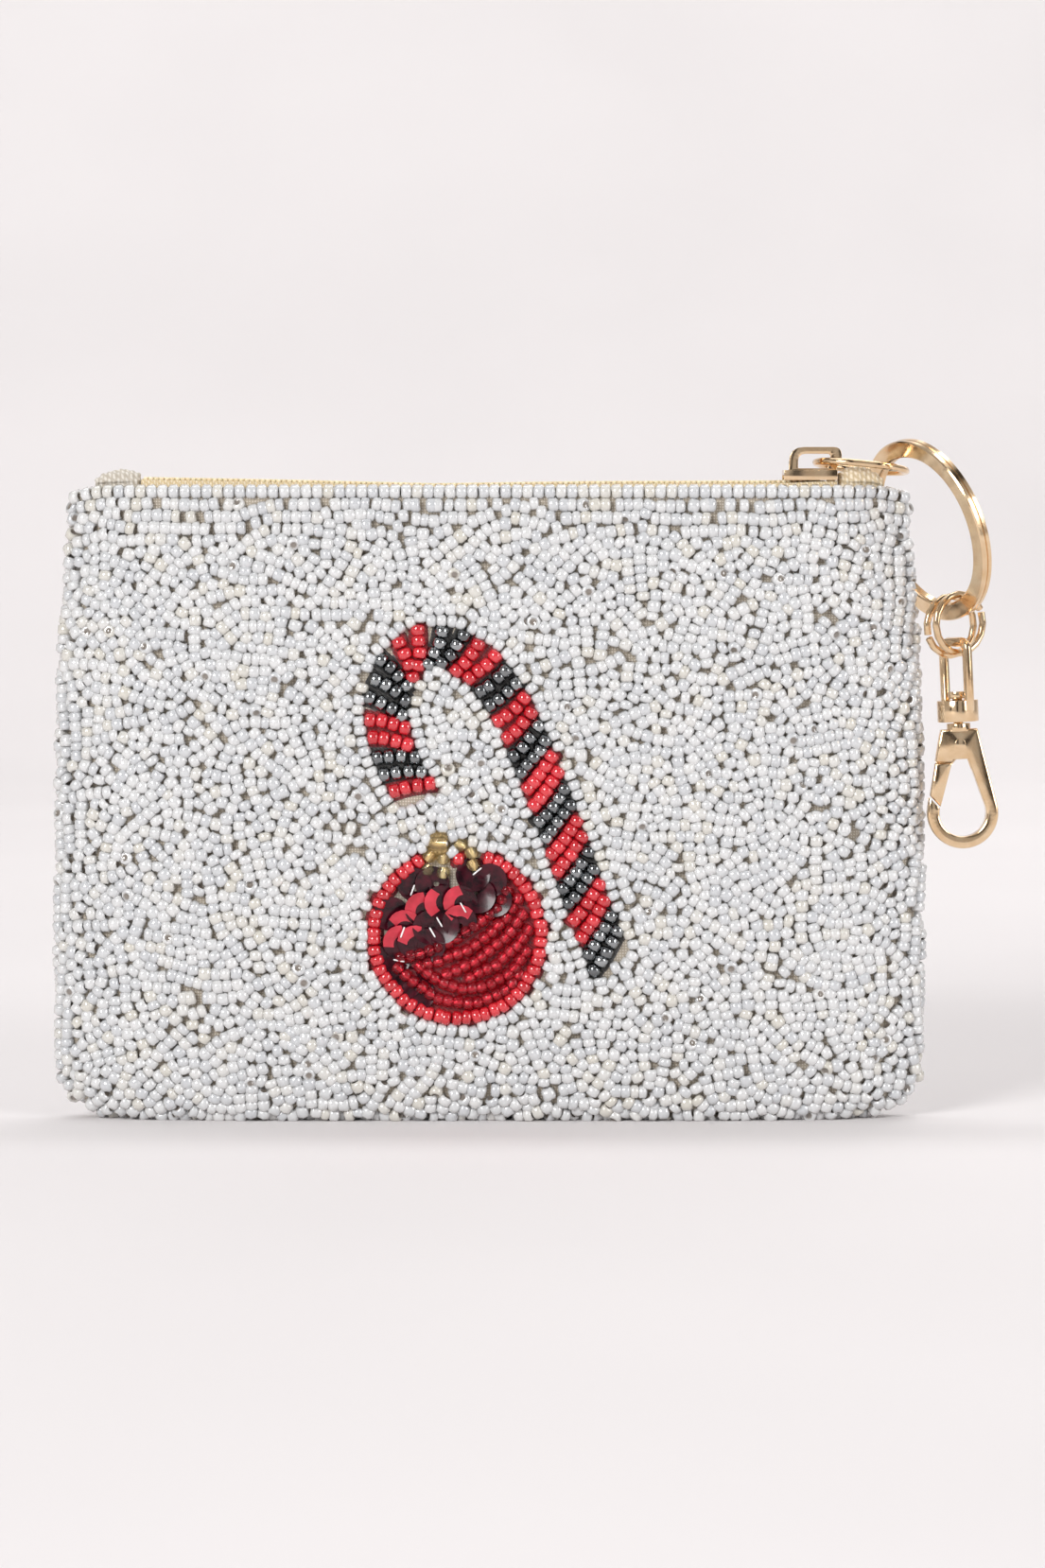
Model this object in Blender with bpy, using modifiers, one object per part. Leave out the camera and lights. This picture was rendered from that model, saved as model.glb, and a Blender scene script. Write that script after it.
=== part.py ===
"""Beaded zip pouch with a split ring and a swivel snap hook at its top right corner.

Metres, +Z up. The origin is the middle of the flat base. +X runs to the right
along the pouch's width, +Y runs from the front to the back.
"""
import math

import bmesh
import bpy
import numpy as np
from mathutils import Matrix, Vector

# Clearance that touching pieces keep
CLEARANCE = 0.0003

# Pouch body
POUCH_WIDTH = 0.1396
POUCH_HEIGHT = 0.1012
POUCH_DEPTH = 0.0150
WALL = 0.0024
SIDE_WALL = 0.0032
EDGE_POWER = 5.5
RIM_WAVE = 0.0007
QUARTER_STEPS = 12

# Rows from the base to the rim: height, width and depth as shares of the pouch's own
BODY_ROWS = (
    # height, width, depth
    (0.000, 0.900, 0.62),
    (0.010, 0.936, 0.76),
    (0.030, 0.972, 0.87),
    (0.065, 0.996, 0.94),
    (0.150, 1.000, 0.99),
    (0.300, 1.000, 1.00),
    (0.450, 0.998, 0.99),
    (0.600, 0.994, 0.96),
    (0.740, 0.988, 0.92),
    (0.860, 0.977, 0.87),
    (0.940, 0.968, 0.84),
    (1.000, 0.964, 0.82),
)
# How the rim rises and dips along the mouth
RIM_ROWS = (
    # place along the half width, share of RIM_WAVE
    (-1.00, 0.2),
    (-0.85, 0.9),
    (-0.50, 0.3),
    (-0.12, -0.6),
    (0.20, -0.1),
    (0.72, 0.1),
    (0.88, 0.9),
    (1.00, -0.4),
)

# Zip
ZIP_END_MARGIN = 0.0118
TAPE_THICKNESS = 0.0010
TAPE_DROP = 0.0060
TAPE_RISE = 0.0009
COIL_WIDTH = 0.0026
COIL_HEIGHT = 0.0019
COIL_RISE = 0.0017
ZIP_STATIONS = 15
TAB_LENGTH = 0.0072
TAB_HALF_DEPTH = 0.0023
TAB_DROP = 0.0022
LEFT_TAB_RISE = 0.0020
RIGHT_TAB_RISE = 0.0024

# Zip slider and its bridge
SLIDER_LENGTH = 0.0085
SLIDER_WIDTH = 0.0062
SLIDER_PLATE = 0.0008
SLIDER_FLANGE = 0.0008
SLIDER_POST = 0.0016
BRIDGE_RISE = 0.0037
BRIDGE_BAR = 0.0011
BRIDGE_THICKNESS = 0.0015

# Split ring, and how it leans and turns
RING_DIAMETER = 0.0300
RING_BAND = 0.0027
RING_THICKNESS = 0.0019
RING_GROOVE = 0.0003
RING_LEAN = math.radians(20.3)
RING_TURN = math.radians(61.3)
RING_OUT = 0.0026
RING_BELOW_RIM = 0.0065
RING_FORWARD = 0.0027
RING_STEPS = 40

# Pull link between the slider and the split ring
LINK_WIDTH = 0.0124
LINK_WIRE = 0.0012
LINK_TILT = math.radians(5)
LINK_UNDER = 0.0017
LINK_FORWARD = 0.00075
LINK_PAST_RING = 0.0012

# Jump rings
JUMP_DIAMETER = 0.0107
JUMP_WIRE = 0.00125
JUMP_SPACING = 0.0023
JUMP_GAP = 0.0005
JUMP_TURN = math.radians(-57.2)
JUMP_STEPS = 16

# Swivel eye
EYE_WIDTH = 0.0060
EYE_WIRE = 0.0016
EYE_CORNER = 0.0013
EYE_LEG = 0.0093
COLLAR_RADIUS = 0.0033
COLLAR_HEIGHT = 0.0034
SWIVEL_LEAN_RIGHT = math.radians(2.8)
SWIVEL_LEAN_FRONT = math.radians(1.3)

# Snap hook
PIN_RADIUS = 0.0008
PIN_HEAD_RADIUS = 0.0015
PIN_HEAD_HEIGHT = 0.0011
NECK_RADIUS = 0.0019
NECK_HEIGHT = 0.0009
HOOK_THICKNESS = 0.0028
HOOK_EDGE = 0.00035
HOOK_RADIUS = 0.00565
HOOK_ARM = 0.0019
HOOK_SHOULDER = 0.0029
HOOK_LENGTH = 0.0203
WINDOW_DROP = 0.0060
WINDOW_TOP_HALF = 0.0012
PIVOT_DROP = 0.0036
GATE_DROP = 0.0062
GATE_HUB_RADIUS = 0.0015
GATE_THICKNESS = 0.0022
GATE_TONGUE = 0.0010
RIVET_RADIUS = 0.0005
RIVET_HEAD_RADIUS = 0.00085
RIVET_HEAD_HEIGHT = 0.0002
NOSE_DROP = 0.0123
NOSE_TURN = math.radians(41.0)

ARC_STEPS = 24
TURN_STEPS = 20

X_AXIS = Vector((1.0, 0.0, 0.0))
Y_AXIS = Vector((0.0, 1.0, 0.0))
Z_AXIS = Vector((0.0, 0.0, 1.0))


# Scene, collections and materials

for old in list(bpy.data.objects):
    bpy.data.objects.remove(old, do_unlink=True)

parts = bpy.data.collections.new("beaded_pouch")
cutters = bpy.data.collections.new("cutters")
bpy.context.scene.collection.children.link(parts)
bpy.context.scene.collection.children.link(cutters)


def material(name, colour, roughness, metallic=0.0):
    """A Principled material with the piece's own colour and finish."""
    new = bpy.data.materials.new(name)
    new.use_nodes = True
    shader = new.node_tree.nodes["Principled BSDF"]
    shader.inputs["Base Color"].default_value = (*colour, 1.0)
    shader.inputs["Roughness"].default_value = roughness
    shader.inputs["Metallic"].default_value = metallic
    return new


pearl = (0.80, 0.81, 0.83)
cream = (0.86, 0.76, 0.57)
grey_beige = (0.52, 0.46, 0.38)
pale_gold = (0.72, 0.48, 0.26)


# Building helpers

def place(mesh, name, finish, parent=None, smooth=True, home=parts):
    """An object for a mesh, in the collection of the pouch or of the cutters."""
    new = bpy.data.objects.new(name, mesh)
    home.objects.link(new)
    if finish is not None:
        mesh.materials.append(finish)
    if smooth:
        mesh.shade_smooth()
        mesh.set_sharp_from_angle(angle=math.radians(40))
    new.parent = parent
    return new


def loft(name, rings):
    """A closed body through sections that all have the same number of points."""
    shape = bmesh.new()
    rows = [[shape.verts.new(point) for point in ring] for ring in rings]
    count = len(rows[0])
    for low, high in zip(rows, rows[1:]):
        for i in range(count):
            j = (i + 1) % count
            shape.faces.new((low[i], low[j], high[j], high[i]))
    shape.faces.new(rows[0][::-1])
    shape.faces.new(rows[-1])
    bmesh.ops.recalc_face_normals(shape, faces=shape.faces)
    mesh = bpy.data.meshes.new(name)
    shape.to_mesh(mesh)
    shape.free()
    return mesh


def mesh_of(curve, matrix):
    """The welded mesh of a curve, moved by a matrix; the curve is removed."""
    holder = bpy.data.objects.new("holder", curve)
    cutters.objects.link(holder)
    bpy.context.view_layer.update()
    evaluated = holder.evaluated_get(bpy.context.evaluated_depsgraph_get())
    mesh = bpy.data.meshes.new_from_object(evaluated)
    bpy.data.objects.remove(holder, do_unlink=True)
    bpy.data.curves.remove(curve)
    shape = bmesh.new()
    shape.from_mesh(mesh)
    bmesh.ops.remove_doubles(shape, verts=shape.verts, dist=0.000002)
    bmesh.ops.transform(shape, matrix=matrix, verts=shape.verts)
    bmesh.ops.recalc_face_normals(shape, faces=shape.faces)
    shape.to_mesh(mesh)
    shape.free()
    return mesh


def wire(points, diameter, closed, sides=8, matrix=Matrix()):
    """Round wire along a list of points."""
    curve = bpy.data.curves.new("wire", 'CURVE')
    curve.dimensions = '3D'
    curve.bevel_depth = diameter / 2
    curve.bevel_resolution = sides // 2 - 2
    curve.use_fill_caps = not closed
    spline = curve.splines.new('POLY')
    spline.points.add(len(points) - 1)
    for target, point in zip(spline.points, points):
        target.co = (*point, 1.0)
    spline.use_cyclic_u = closed
    return mesh_of(curve, matrix)


def plate(outlines, thickness, edge=0.0):
    """A flat shape standing in the local XZ plane, its edges rounded by edge."""
    curve = bpy.data.curves.new("plate", 'CURVE')
    curve.dimensions = '2D'
    curve.fill_mode = 'BOTH'
    curve.extrude = thickness / 2 - edge
    curve.bevel_depth = edge
    curve.bevel_resolution = 1
    curve.offset = -edge
    for outline in outlines:
        spline = curve.splines.new('POLY')
        spline.points.add(len(outline) - 1)
        for target, (x, z) in zip(spline.points, outline):
            target.co = (x, z, 0.0, 1.0)
        spline.use_cyclic_u = True
    return mesh_of(curve, Matrix.Rotation(math.radians(90), 4, 'X'))


def disc(radius, low, high, centre=(0.0, 0.0), axis='Z', steps=TURN_STEPS):
    """A short cylinder between two heights, along Z or along Y."""
    shape = bmesh.new()
    bmesh.ops.create_cone(shape, cap_ends=True, segments=steps, radius1=radius,
                          radius2=radius, depth=high - low)
    middle = (low + high) / 2
    if axis == 'Z':
        matrix = Matrix.Translation((centre[0], centre[1], middle))
    else:
        matrix = (Matrix.Translation((centre[0], middle, centre[1]))
                  @ Matrix.Rotation(math.radians(90), 4, 'X'))
    bmesh.ops.transform(shape, matrix=matrix, verts=shape.verts)
    mesh = bpy.data.meshes.new("disc")
    shape.to_mesh(mesh)
    shape.free()
    return mesh


def box(low, high):
    """A box between two corners."""
    shape = bmesh.new()
    bmesh.ops.create_cube(shape, size=1.0)
    size = [b - a for a, b in zip(low, high)]
    middle = [(a + b) / 2 for a, b in zip(low, high)]
    bmesh.ops.scale(shape, vec=size, verts=shape.verts)
    bmesh.ops.translate(shape, vec=middle, verts=shape.verts)
    mesh = bpy.data.meshes.new("box")
    shape.to_mesh(mesh)
    shape.free()
    return mesh


def combine(target, mesh, operation):
    """Join a mesh to an object or cut it away, by a Boolean in the same frame."""
    tool = place(mesh, f"{target.name}_{operation.lower()}", None, target.parent,
                 smooth=False, home=cutters)
    tool.hide_render = True
    tool.display_type = 'WIRE'
    step = target.modifiers.new(operation.lower(), 'BOOLEAN')
    step.operation = operation
    step.solver = 'EXACT'
    step.object = tool


def rounded(corners):
    """A closed outline whose corners (x, z, radius) are rounded by short arcs."""
    outline = []
    for i, (x, z, radius) in enumerate(corners):
        here = Vector((x, z))
        before = Vector(corners[i - 1][:2]) - here
        after = Vector(corners[(i + 1) % len(corners)][:2]) - here
        opening = before.angle(after)
        reach = radius / math.tan(opening / 2)
        start = here + before.normalized() * reach
        end = here + after.normalized() * reach
        for share in (0.0, 0.25, 0.5, 0.75, 1.0):
            outer = start.lerp(here, share)
            inner = here.lerp(end, share)
            outline.append(tuple(outer.lerp(inner, share)))
    return outline


# Pouch body

half_width = POUCH_WIDTH / 2
half_depth = POUCH_DEPTH / 2
row_heights = [row[0] for row in BODY_ROWS]
row_widths = [row[1] for row in BODY_ROWS]
row_depths = [row[2] for row in BODY_ROWS]
rim_half_width = half_width * row_widths[-1]
rim_half_depth = half_depth * row_depths[-1]
mouth_half_width = rim_half_width - SIDE_WALL
mouth_half_depth = rim_half_depth - WALL


def rim_lift(x):
    """How far the rim is above or below its mean height at a place along X."""
    places = [row[0] for row in RIM_ROWS]
    shares = [row[1] for row in RIM_ROWS]
    return RIM_WAVE * float(np.interp(x / rim_half_width, places, shares))


def rim_height(x):
    return POUCH_HEIGHT + rim_lift(x)


def body_ring(height, inset_side, inset_depth):
    """One closed section of the pouch, a flat oval with thin ends."""
    share = height / POUCH_HEIGHT
    wide = half_width * float(np.interp(share, row_heights, row_widths)) - inset_side
    deep = half_depth * float(np.interp(share, row_heights, row_depths)) - inset_depth
    points = []
    for i in range(4 * QUARTER_STEPS):
        angle = 2 * math.pi * i / (4 * QUARTER_STEPS)
        along = math.cos(angle)
        across = math.sqrt(max(0.0, 1.0 - abs(along) ** EDGE_POWER))
        side = math.copysign(1.0, math.sin(angle)) if i % (2 * QUARTER_STEPS) else 0.0
        x = wide * along
        points.append((x, side * deep * across, height + rim_lift(x) * share ** 4))
    return points


def mouth_half(x):
    """Half the mouth's depth, inside the walls, at a place along X."""
    share = min(1.0, abs(x) / mouth_half_width)
    return mouth_half_depth * math.sqrt(1.0 - share ** EDGE_POWER)


outer = [body_ring(share * POUCH_HEIGHT, 0.0, 0.0) for share in row_heights]
inner_heights = [share * POUCH_HEIGHT for share in row_heights
                 if share * POUCH_HEIGHT > 1.5 * WALL]
inner = [body_ring(height, SIDE_WALL, WALL) for height in reversed(inner_heights)]
inner.append(body_ring(WALL, SIDE_WALL, WALL))
place(loft("beaded_body", outer + inner), "beaded_body",
      material("pearl beads on cloth", pearl, 0.35))


# Zip: two tapes, the coil between them and a cloth tab at each end

cream_cloth = material("cream cloth", cream, 0.85)
grey_cloth = material("grey beige cloth", grey_beige, 0.9)
zip_half = mouth_half_width - ZIP_END_MARGIN + SIDE_WALL
coil_edge = COIL_WIDTH / 2 + CLEARANCE


def tape_rings(side):
    """Sections of a tape: a flange down the wall and a ledge towards the coil."""
    rings = []
    for x in np.linspace(-zip_half, zip_half, ZIP_STATIONS):
        wall = mouth_half(x) - CLEARANCE
        top = rim_height(x) + TAPE_RISE
        low = rim_height(x) - TAPE_DROP
        ledge = min(coil_edge, wall - TAPE_THICKNESS - 0.1 * TAPE_THICKNESS)
        flange = wall - TAPE_THICKNESS
        rings.append([(x, side * wall, low), (x, side * wall, top),
                      (x, side * ledge, top), (x, side * ledge, top - TAPE_THICKNESS),
                      (x, side * flange, top - TAPE_THICKNESS), (x, side * flange, low)])
    return rings


for side, name in ((-1, "zip_tape_front"), (1, "zip_tape_back")):
    place(loft(name, tape_rings(side)), name, cream_cloth, smooth=False)

slider_right = zip_half
slider_left = slider_right - SLIDER_LENGTH
coil_right = slider_right - SLIDER_POST - CLEARANCE


def coil_ring(x):
    top = rim_height(x) + COIL_RISE
    middle = top - COIL_HEIGHT / 2
    ring = []
    for i in range(8):
        angle = math.radians(22.5 + 45 * i)
        stretch = 1.0 / math.cos(math.radians(22.5))
        ring.append((x, COIL_WIDTH / 2 * math.cos(angle) * stretch,
                     middle + COIL_HEIGHT / 2 * math.sin(angle) * stretch))
    return ring


place(loft("zip_coil", [coil_ring(x) for x in np.linspace(-zip_half, coil_right, ZIP_STATIONS)]),
      "zip_coil", cream_cloth)

# Stations along a tab: place, depth and rise as shares, from the zip outwards
TAB_ROWS = (
    (0.00, 0.70, 0.55),
    (0.12, 0.95, 0.85),
    (0.40, 1.00, 1.00),
    (0.65, 0.90, 0.92),
    (0.88, 0.75, 0.60),
    (1.00, 0.55, 0.30),
)


def tab_rings(side, rise):
    """Sections of a folded tape end: narrow in the mouth, arched above the rim."""
    start = zip_half + CLEARANCE
    rings = []
    for along, deep, high in TAB_ROWS:
        x = side * (start + along * TAB_LENGTH)
        rim = rim_height(x)
        low = min(TAB_HALF_DEPTH * deep, mouth_half(x) - CLEARANCE)
        wide = max(low, TAB_HALF_DEPTH * deep)
        step = rim + CLEARANCE
        top = step + CLEARANCE + rise * high
        shoulder = step + 0.7 * (top - step)
        rings.append([(x, -low, rim - TAB_DROP), (x, low, rim - TAB_DROP), (x, low, step),
                      (x, wide, step + CLEARANCE), (x, 0.85 * wide, shoulder),
                      (x, 0.45 * wide, top), (x, -0.45 * wide, top),
                      (x, -0.85 * wide, shoulder), (x, -wide, step + CLEARANCE),
                      (x, -low, step)])
    return rings


place(loft("zip_tab_left", tab_rings(-1, LEFT_TAB_RISE)), "zip_tab_left", grey_cloth)
place(loft("zip_tab_right", tab_rings(1, RIGHT_TAB_RISE)), "zip_tab_right", cream_cloth)


# Zip slider: two plates on a post at its mouth end, and a bridge for the link

gold = material("pale gold plating", pale_gold, 0.18, 1.0)
slider_rim = rim_height((slider_left + slider_right) / 2)
coil_top = slider_rim + COIL_RISE
plate_low = coil_top + CLEARANCE
plate_top = plate_low + SLIDER_PLATE
under_top = coil_top - COIL_HEIGHT - CLEARANCE
under_half = mouth_half(slider_right) - 2 * CLEARANCE - TAPE_THICKNESS
flange_low = slider_rim + TAPE_RISE + CLEARANCE
slider_half = SLIDER_WIDTH / 2

slider_inner = slider_half - SLIDER_FLANGE


def channel_ring(x):
    """The top plate's section, with a flange down each side."""
    right = [(slider_half, plate_top), (slider_half, flange_low),
             (slider_inner, flange_low), (slider_inner, plate_low)]
    left = [(-y, z) for y, z in right[::-1]]
    return [(x, y, z) for y, z in right + left]


slider = place(loft("zip_slider", [channel_ring(slider_left), channel_ring(slider_right)]),
               "zip_slider", gold, smooth=False)
post_left = slider_right - SLIDER_POST
post_right = slider_right - SLIDER_PLATE / 4
plate_middle = plate_low + SLIDER_PLATE / 2
under_left = slider_left + SLIDER_PLATE
under = [(post_left, plate_middle), (post_left, under_top), (under_left, under_top),
         (under_left, under_top - SLIDER_PLATE), (post_right, under_top - SLIDER_PLATE),
         (post_right, plate_middle)]
combine(slider, plate([under], 2 * min(under_half, COIL_WIDTH / 2)), 'UNION')

bridge_left = under_left + SLIDER_PLATE / 8
bridge_right = slider_right + SLIDER_PLATE
bridge_top = plate_top + BRIDGE_RISE
foot = plate_middle
arch = rounded([(bridge_left, foot, 0.0001), (bridge_right - BRIDGE_BAR, foot, 0.0001),
                (bridge_right, plate_top + 0.55 * BRIDGE_RISE, 0.0008),
                (bridge_right, bridge_top, 0.0013), (bridge_left, bridge_top, 0.0024)])
arch_window = rounded([(bridge_left + 1.3 * BRIDGE_BAR, plate_top + CLEARANCE, 0.0002),
                       (bridge_right - 2 * BRIDGE_BAR, plate_top + CLEARANCE, 0.0002),
                       (bridge_right - 1.5 * BRIDGE_BAR, bridge_top - BRIDGE_BAR, 0.0005),
                       (bridge_left + 1.3 * BRIDGE_BAR, bridge_top - BRIDGE_BAR, 0.0012)])
combine(slider, plate([arch, arch_window], BRIDGE_THICKNESS), 'UNION')


# Split ring: a flat double band, leaning and turned as it hangs over the corner

ring_down = Vector((math.sin(RING_LEAN), 0.0, -math.cos(RING_LEAN)))
ring_level = Vector((math.cos(RING_LEAN), 0.0, math.sin(RING_LEAN)))
ring_near = math.cos(RING_TURN) * ring_level - math.sin(RING_TURN) * Y_AXIS
ring_normal = ring_down.cross(ring_near).normalized()
ring_centre = Vector((rim_half_width + RING_OUT, -RING_FORWARD,
                      POUCH_HEIGHT - RING_BELOW_RIM))
band_radius = RING_DIAMETER / 2 - RING_BAND / 2


def frame_matrix(origin, x_axis, y_axis, z_axis):
    turned = Matrix((x_axis, y_axis, z_axis)).transposed().to_4x4()
    return Matrix.Translation(origin) @ turned


half_band = RING_BAND / 2
half_thick = RING_THICKNESS / 2
bevel = RING_GROOVE
profile = [(half_band, half_thick - bevel), (half_band, bevel),
           (half_band - bevel, 0.0), (half_band, -bevel),
           (half_band, bevel - half_thick), (half_band - bevel, -half_thick),
           (bevel - half_band, -half_thick), (-half_band, bevel - half_thick),
           (-half_band, half_thick - bevel), (bevel - half_band, half_thick),
           (half_band - bevel, half_thick)]
shape = bmesh.new()
loop = [shape.verts.new((band_radius + x, 0.0, z)) for x, z in profile]
for i, vert in enumerate(loop):
    shape.edges.new((vert, loop[(i + 1) % len(loop)]))
mesh = bpy.data.meshes.new("split_ring")
shape.to_mesh(mesh)
shape.free()
split_ring = place(mesh, "split_ring", gold, smooth=False)
split_ring.matrix_world = frame_matrix(ring_centre, ring_down, ring_near, ring_normal)
turn = split_ring.modifiers.new("turn", 'SCREW')
turn.axis = 'Z'
turn.steps = RING_STEPS
turn.render_steps = RING_STEPS
turn.use_merge_vertices = True
turn.merge_threshold = 0.00001
turn.use_smooth_shade = False


# Pull link: a long loop from the bridge to the top of the split ring

def stadium(length, width, steps):
    """Centre line of a long loop, from its left end at the origin along +X."""
    radius = width / 2
    points = []
    for centre, start in ((length - radius, -90), (radius, 90)):
        for i in range(steps + 1):
            angle = math.radians(start + 180 * i / steps)
            points.append((centre + radius * math.cos(angle), radius * math.sin(angle), 0.0))
    return points


hole_top = ring_centre - (RING_DIAMETER / 2 - RING_BAND) * ring_down
link_width = LINK_WIDTH - LINK_WIRE
link_across = Vector((0.0, math.cos(LINK_TILT), -math.sin(LINK_TILT)))
# The near side of the loop passes just under the ring's inner edge
near_point = hole_top - LINK_FORWARD * Y_AXIS - LINK_UNDER * Z_AXIS
link_end = near_point + LINK_PAST_RING * X_AXIS + link_across * link_width / 2
# Its round left end passes through the bridge's window, clear of the right leg
end_radius = link_width / 2
leg_reach = link_end.y + BRIDGE_THICKNESS / 2
end_bow = end_radius - math.sqrt(end_radius ** 2 - leg_reach ** 2)
window_right = bridge_right - 2 * BRIDGE_BAR
window_middle = (plate_top + bridge_top - BRIDGE_BAR) / 2
link_left = Vector((window_right - CLEARANCE - LINK_WIRE / 2 - end_bow, link_end.y,
                    window_middle + CLEARANCE / 2 - link_end.y * math.tan(LINK_TILT)))
link_along = (link_end - link_left).normalized()
link_length = (link_end - link_left).length
link_normal = link_along.cross(link_across).normalized()
link_cross = link_normal.cross(link_along)
link = wire(stadium(link_length, link_width, 10), LINK_WIRE, True, 8,
            frame_matrix(link_left, link_along, link_cross, link_normal))
place(link, "pull_link", gold)


# Jump rings: two round wires with a cut, side by side on the split ring

jump_normal = Vector((math.cos(JUMP_TURN), math.sin(JUMP_TURN), 0.0))
jump_side = Z_AXIS.cross(jump_normal)
jump_radius = (JUMP_DIAMETER - JUMP_WIRE) / 2
ring_bottom = ring_centre + band_radius * ring_down
hang_drop = jump_radius - JUMP_WIRE / 2 - half_band - 1.5 * CLEARANCE
jump_middle = ring_bottom - hang_drop * Z_AXIS - 0.1 * RING_BAND * X_AXIS


def jump_ring(name, offset, cut_angle):
    """A round ring in the XZ plane of its own frame, open at a cut."""
    gap = JUMP_GAP / jump_radius
    points = []
    for i in range(JUMP_STEPS + 1):
        angle = cut_angle + gap / 2 + (2 * math.pi - gap) * i / JUMP_STEPS
        points.append((jump_radius * math.cos(angle), 0.0, jump_radius * math.sin(angle)))
    # The rings follow the split ring's slope, so the near one hangs a little higher
    rise = offset * ring_near.z / abs(ring_near.y)
    centre = jump_middle + offset * jump_normal + rise * Z_AXIS
    matrix = frame_matrix(centre, jump_side, -jump_normal, Z_AXIS)
    place(wire(points, JUMP_WIRE, False, 6, matrix), name, gold)
    return centre


near_centre = jump_ring("jump_ring_front", JUMP_SPACING / 2, math.radians(25))
far_centre = jump_ring("jump_ring_back", -JUMP_SPACING / 2, math.radians(-160))


# Swivel frame: its axis leans a little from the eye down to the hook

highest_jump = max(near_centre.z, far_centre.z)
eye_top = Vector((jump_middle.x, jump_middle.y,
                  highest_jump - jump_radius + JUMP_WIRE / 2 + CLEARANCE + EYE_WIRE / 2))
swivel_axis = Vector((-math.tan(SWIVEL_LEAN_RIGHT), math.tan(SWIVEL_LEAN_FRONT), 1.0)).normalized()
swivel_front = (Y_AXIS - Y_AXIS.dot(swivel_axis) * swivel_axis).normalized()
swivel_right = swivel_front.cross(swivel_axis)
eye_height = COLLAR_HEIGHT + EYE_LEG
swivel_origin = eye_top - eye_height * swivel_axis

swivel = bpy.data.objects.new("swivel_axis", None)
parts.objects.link(swivel)
swivel.matrix_world = frame_matrix(swivel_origin, swivel_right, swivel_front, swivel_axis)


# Swivel eye: a stirrup of wire soldered to a drilled collar

eye_half = (EYE_WIDTH) / 2
eye_points = [(-eye_half, 0.0, COLLAR_HEIGHT / 2)]
for centre_x, start in ((EYE_CORNER - eye_half, 180), (eye_half - EYE_CORNER, 90)):
    for i in range(5):
        angle = math.radians(start - 90 * i / 4)
        eye_points.append((centre_x + EYE_CORNER * math.cos(angle), 0.0,
                           eye_height - EYE_CORNER + EYE_CORNER * math.sin(angle)))
eye_points.append((eye_half, 0.0, COLLAR_HEIGHT / 2))
eye = place(disc(COLLAR_RADIUS, 0.0, COLLAR_HEIGHT), "swivel_eye", gold, swivel)
eye_turn = Matrix.Rotation(JUMP_TURN, 4, 'Z')
combine(eye, wire(eye_points, EYE_WIRE, False, 8, eye_turn), 'UNION')
combine(eye, disc(PIN_RADIUS + CLEARANCE, -COLLAR_HEIGHT, 2 * COLLAR_HEIGHT), 'DIFFERENCE')


# Snap hook: pin and neck, fork, arm and nose in one cast piece with its rivet

neck_low = -CLEARANCE - NECK_HEIGHT
shoulder_low = neck_low - 0.0
circle_z = -HOOK_LENGTH + HOOK_RADIUS
inner_radius = HOOK_RADIUS - HOOK_ARM


def teardrop(top_half, top, radius, centre):
    """An outline of two straight flanks that run into a round bottom."""
    flank = Vector((top_half, top - centre))
    reach = flank.length
    turn_to = math.atan2(flank.y, flank.x) - math.acos(radius / reach)
    points = [(top_half, top), (-top_half, top)]
    for i in range(ARC_STEPS + 1):
        angle = math.pi - turn_to + (math.pi + 2 * turn_to) * i / ARC_STEPS
        points.append((radius * math.cos(angle), centre + radius * math.sin(angle)))
    return points


outline = teardrop(HOOK_SHOULDER, neck_low, HOOK_RADIUS, circle_z)
window = teardrop(WINDOW_TOP_HALF, -WINDOW_DROP, inner_radius, circle_z)
hook = place(plate([outline, window], HOOK_THICKNESS, HOOK_EDGE), "hook_frame", gold, swivel)

nose_point = Vector((-(HOOK_RADIUS - HOOK_ARM / 2), -NOSE_DROP))
nose_normal = Vector((math.cos(NOSE_TURN), math.sin(NOSE_TURN)))
nose_along = Vector((-nose_normal.y, nose_normal.x))
reach_out = 0.7 * HOOK_RADIUS
wide_reach = 2 * HOOK_RADIUS


def nose_line(offset):
    """Two ends of the slanting cut between the gate and the nose."""
    middle = nose_point + offset * nose_normal
    return middle + reach_out * nose_along, middle - reach_out * nose_along


half_gap = CLEARANCE / 2
outer_end, inner_end = nose_line(-half_gap)
gate_room = [(-wide_reach, -GATE_DROP), (-WINDOW_TOP_HALF * 0.9, -GATE_DROP),
             (-WINDOW_TOP_HALF, inner_end.y), tuple(inner_end), tuple(outer_end),
             (-wide_reach, outer_end.y)]
combine(hook, plate([gate_room], 2 * HOOK_THICKNESS), 'DIFFERENCE')

slot_half = GATE_TONGUE / 2 + CLEARANCE
slot_reach = GATE_HUB_RADIUS + CLEARANCE
combine(hook, box((-wide_reach, -slot_half, -2 * GATE_DROP),
                  (slot_reach, slot_half, -PIVOT_DROP + slot_reach)), 'DIFFERENCE')
combine(hook, disc(RIVET_RADIUS, -HOOK_THICKNESS / 2 + CLEARANCE, HOOK_THICKNESS / 2 - CLEARANCE,
                   (0.0, -PIVOT_DROP), 'Y', 12), 'UNION')
combine(hook, disc(RIVET_HEAD_RADIUS, -HOOK_THICKNESS / 2 - RIVET_HEAD_HEIGHT,
                   -HOOK_THICKNESS / 2 + RIVET_HEAD_HEIGHT, (0.0, -PIVOT_DROP), 'Y', 12), 'UNION')
combine(hook, disc(NECK_RADIUS, neck_low - HOOK_EDGE, -CLEARANCE), 'UNION')
head_low = COLLAR_HEIGHT + CLEARANCE
combine(hook, disc(PIN_RADIUS, -2 * CLEARANCE, head_low + PIN_HEAD_HEIGHT / 2, steps=12), 'UNION')
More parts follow.
